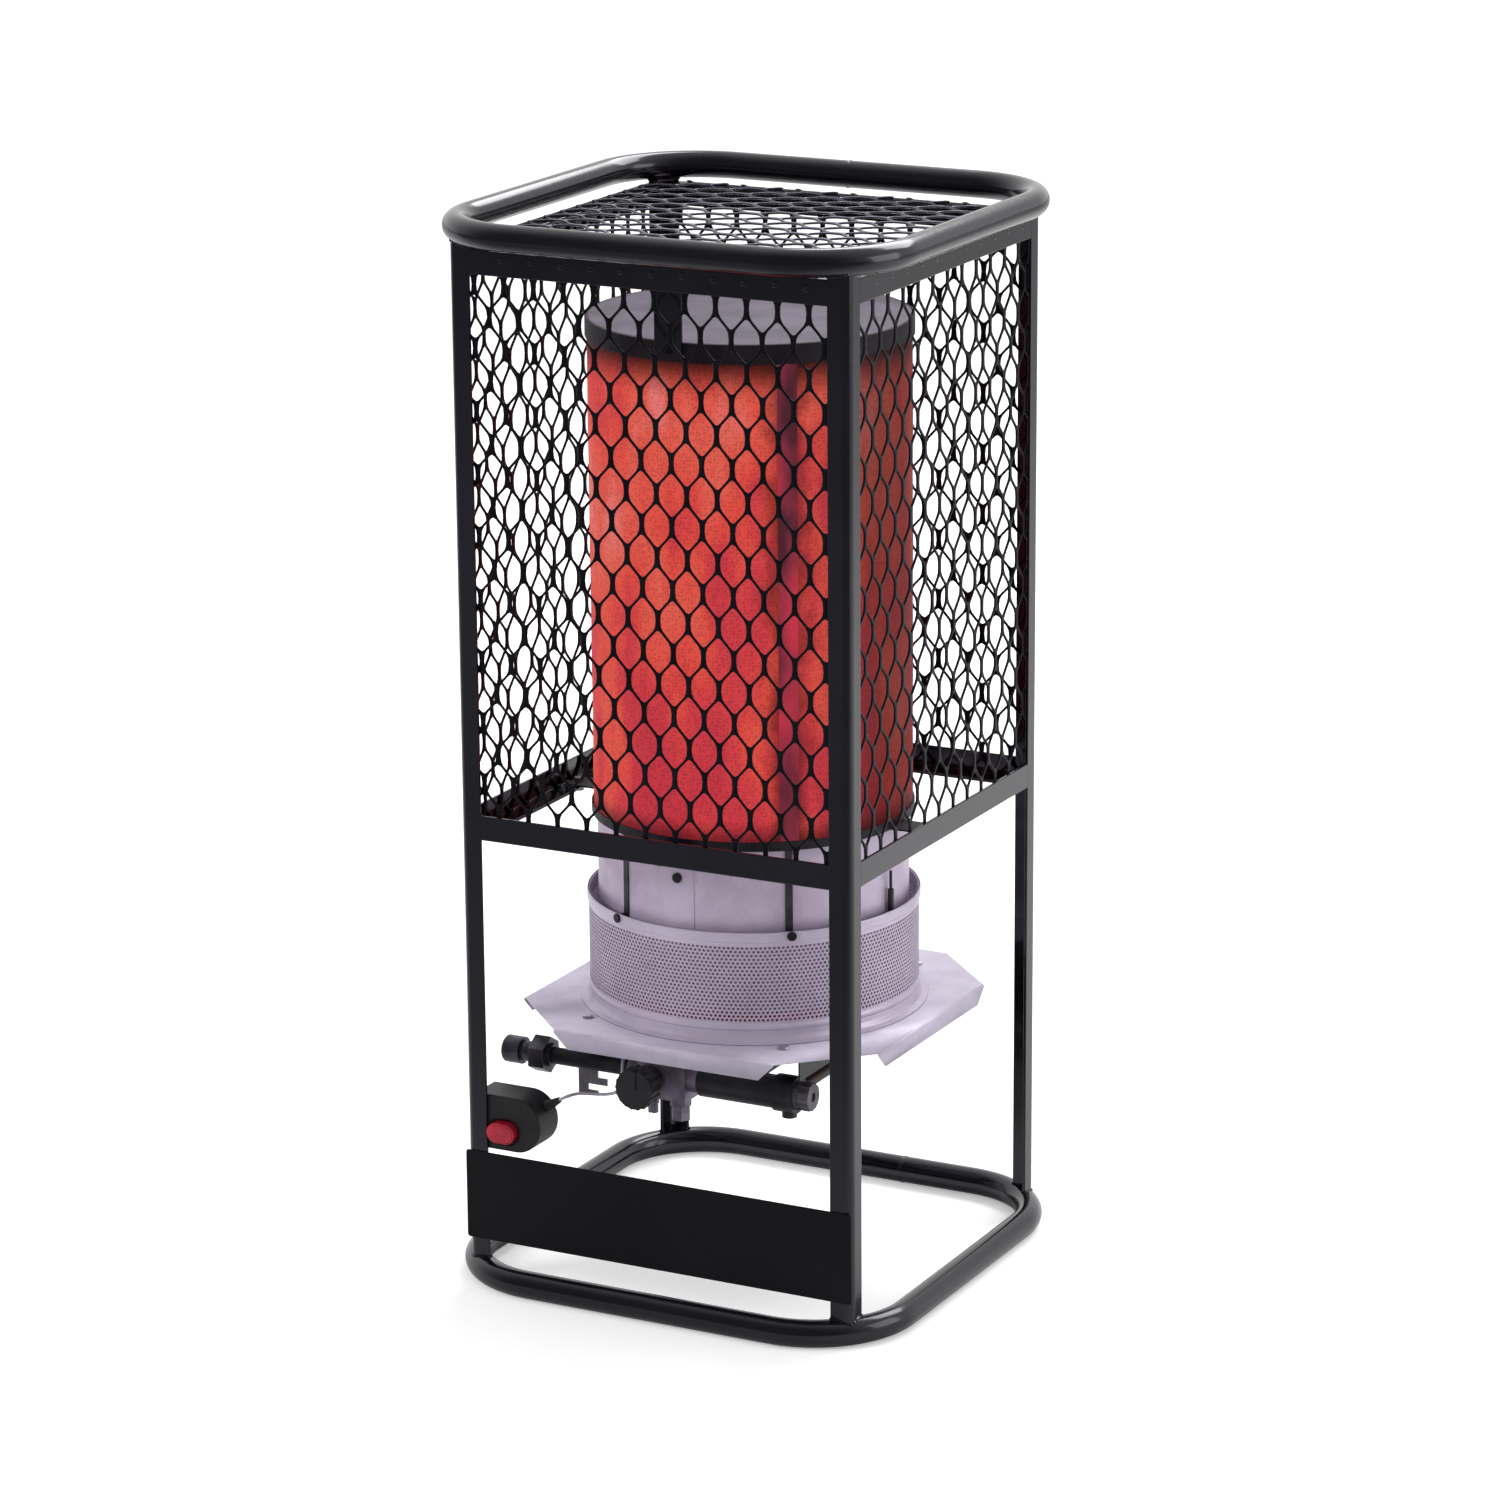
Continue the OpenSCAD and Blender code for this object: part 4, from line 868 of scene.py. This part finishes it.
# cast iron is matt and grainy, turned brass bright, and the copper has tarnished to brown
cast_iron = painted("cast_burner_iron", "#2b2a2e", "#434149", patch=0.02, grain=0.0012,
                    rough=(0.55, 0.7), relief=0.0001, metallic=0.3)
brass = painted("turned_brass", "#a98443", "#cba866", patch=0.02, grain=0.0012, rough=(0.25, 0.38),
                relief=0.00002, metallic=1.0)
copper = painted("tarnished_copper_tube", "#2b211e", "#463630", patch=0.03, grain=0.0012,
                 rough=(0.35, 0.5), relief=0.00002, metallic=0.6)
dressed("burner_tube", tray_zinc, "zinc_sheet", soft=0.0003)
dressed("burner_head", cast_iron, "cast_grey", soft=0.0006)
dressed("gas_orifice", brass, "brass", soft=0.0003)
dressed("feed_tube", copper, "tube_copper", soft=0.0)

# Gas train
# Male inlet fitting, black inlet pipe on its sheet bracket, die-cast valve with a
# fluted knob, a thick black pipe, a tee and a ribbed end plug.

# darkened steel and die-cast zinc have a satin sheen, the pipe's paint is pebbled and the
# moulded knob is dull; only the stem is bright
fitting = painted("darkened_fitting_steel", "#38363d", "#57535e", patch=0.012, grain=0.0012,
                  rough=(0.28, 0.42), relief=0.00004, metallic=0.85)
pipe_black = painted("black_gas_pipe", "#111116", "#1f1f27", patch=0.02, grain=0.0015,
                     rough=(0.38, 0.55), relief=0.00012)
cast_zinc = painted("die_cast_valve_zinc", "#6f6877", "#958d9d", patch=0.015, grain=0.0012,
                    rough=(0.4, 0.55), relief=0.00008, metallic=0.7)
plug_grey = painted("ribbed_plug_grey", "#454249", "#66626c", patch=0.012, grain=0.0012,
                    rough=(0.4, 0.55), relief=0.00004, metallic=0.4)
knob_black = painted("moulded_knob_phenolic", "#0d0d11", "#17171c", patch=0.012, grain=0.0009,
                     rough=(0.36, 0.5), relief=0.00004)
steel_rod = painted("turned_stem_steel", "#8f8a96", "#b1acb8", patch=0.01, grain=0.001,
                    rough=(0.25, 0.35), relief=0.00002, metallic=1.0)
dressed("inlet_fitting", fitting, "dark_steel", soft=0.0005)
dressed("inlet_pipe", pipe_black, "black_pipe", soft=0.0002)
dressed("pipe_bracket", plated, "plated_steel", soft=0.0003)
dressed("valve_body", cast_zinc, "cast_grey", soft=0.0012)
dressed("valve_bonnet", fitting, "dark_steel", soft=0.0004)
dressed("valve_plug", brass, "brass", soft=0.0002, body="valve")
dressed("valve_stem", steel_rod, "plated_steel", soft=0.0003, body="knob")
dressed("valve_knob", knob_black, "black_plastic", soft=0.0008, body="knob")
dressed("valve_nut", cast_zinc, "brass", soft=0.0005)
dressed("valve_bleed_screw", cast_zinc, "brass", soft=0.0003)
dressed("gas_pipe", pipe_black, "black_pipe", soft=0.0004)
dressed("pipe_tee", pipe_black, "black_pipe", soft=0.0008)
dressed("pipe_plug", plug_grey, "dark_steel", soft=0.0004)

# Igniter
# A black moulded push-button housing behind the front left post, with an oval red
# button, a tapered rubber boot and a thin grey lead to the electrode.

# the housing is moulded with a fine dull texture, the button is glossy, rubber is matt and
# the silicone sleeve satin
housing = painted("textured_black_abs", "#0b0b0d", "#131316", patch=0.02, grain=0.0009,
                  rough=(0.42, 0.56), relief=0.00006)
red_button = painted("glossy_red_abs", "#8f1328", "#b01c34", patch=0.02, grain=0.002,
                     rough=(0.2, 0.3), relief=0.00002)
rubber = painted("black_rubber_boot", "#121214", "#1e1e22", patch=0.01, grain=0.0009,
                 rough=(0.55, 0.7), relief=0.00006)
silicone = painted("grey_silicone_lead", "#8f8a98", "#aaa4b2", patch=0.01, grain=0.0012,
                   rough=(0.4, 0.5), relief=0.00003)
dressed("igniter_body", housing, "black_plastic", soft=0.0012)
dressed("igniter_button", red_button, "red_plastic", soft=0.0011, body="button")
dressed("igniter_boot", rubber, "rubber_black", soft=0.0004)

# The lead runs past the valve and under the tray. Between two points of its route it is a cubic
# whose slope at a point is half the step between that point's neighbours. Circles are carried
# along it on a side vector square to the run and to one slanting direction it never takes.
route = np.array([(-102.3, -150, 153.8), (-95.9, -150, 157.7), (-91.5, -146.8, 159.7),
                  (-87, -135, 159), (-70, -122, 157), (-60, -121, 162), (-56, -122, 176),
                  (-56, -118, 189), (-52, -104, 194), (-40, -76, 193), (0, -46, 189),
                  (60, -26, 188), (112, -14, 189), (124.8, -11.3, 193),
                  (127.4, -11.1, 203)]) * 0.001
lead_radius, lead_steps, lead_sides = 0.0013, 12, 12
p = np.concatenate([route[:1], route, route[-1:]])
t = (np.arange(lead_steps) / lead_steps)[None, :, None]
a0, b0, c0, d0 = (p[i:len(p) - 3 + i, None] for i in range(4))
curve = 0.5 * (2 * b0 + (c0 - a0) * t + (2 * a0 - 5 * b0 + 4 * c0 - d0) * t ** 2
               + (3 * b0 - a0 - 3 * c0 + d0) * t ** 3)
curve = np.concatenate([curve.reshape(-1, 3), route[-1:]])
run = unit(np.gradient(curve, axis=0))
side = unit(np.cross(run, (0.31, 0.2, 0.93)))
over = np.cross(side, run)
a = round_angles(lead_sides)[None, :, None]
points = curve[:, None] + lead_radius * (np.cos(a) * side[:, None] + np.sin(a) * over[:, None])
last = (len(curve) - 1) * lead_sides
ends = [list(range(lead_sides)), list(range(last, last + lead_sides))]
faces = grid_faces(len(curve), lead_sides, loop_cols=True).tolist() + ends
new_piece("igniter_lead_wire", points, faces, silicone, "lead_grey", "igniter_lead", sharp=60.0)
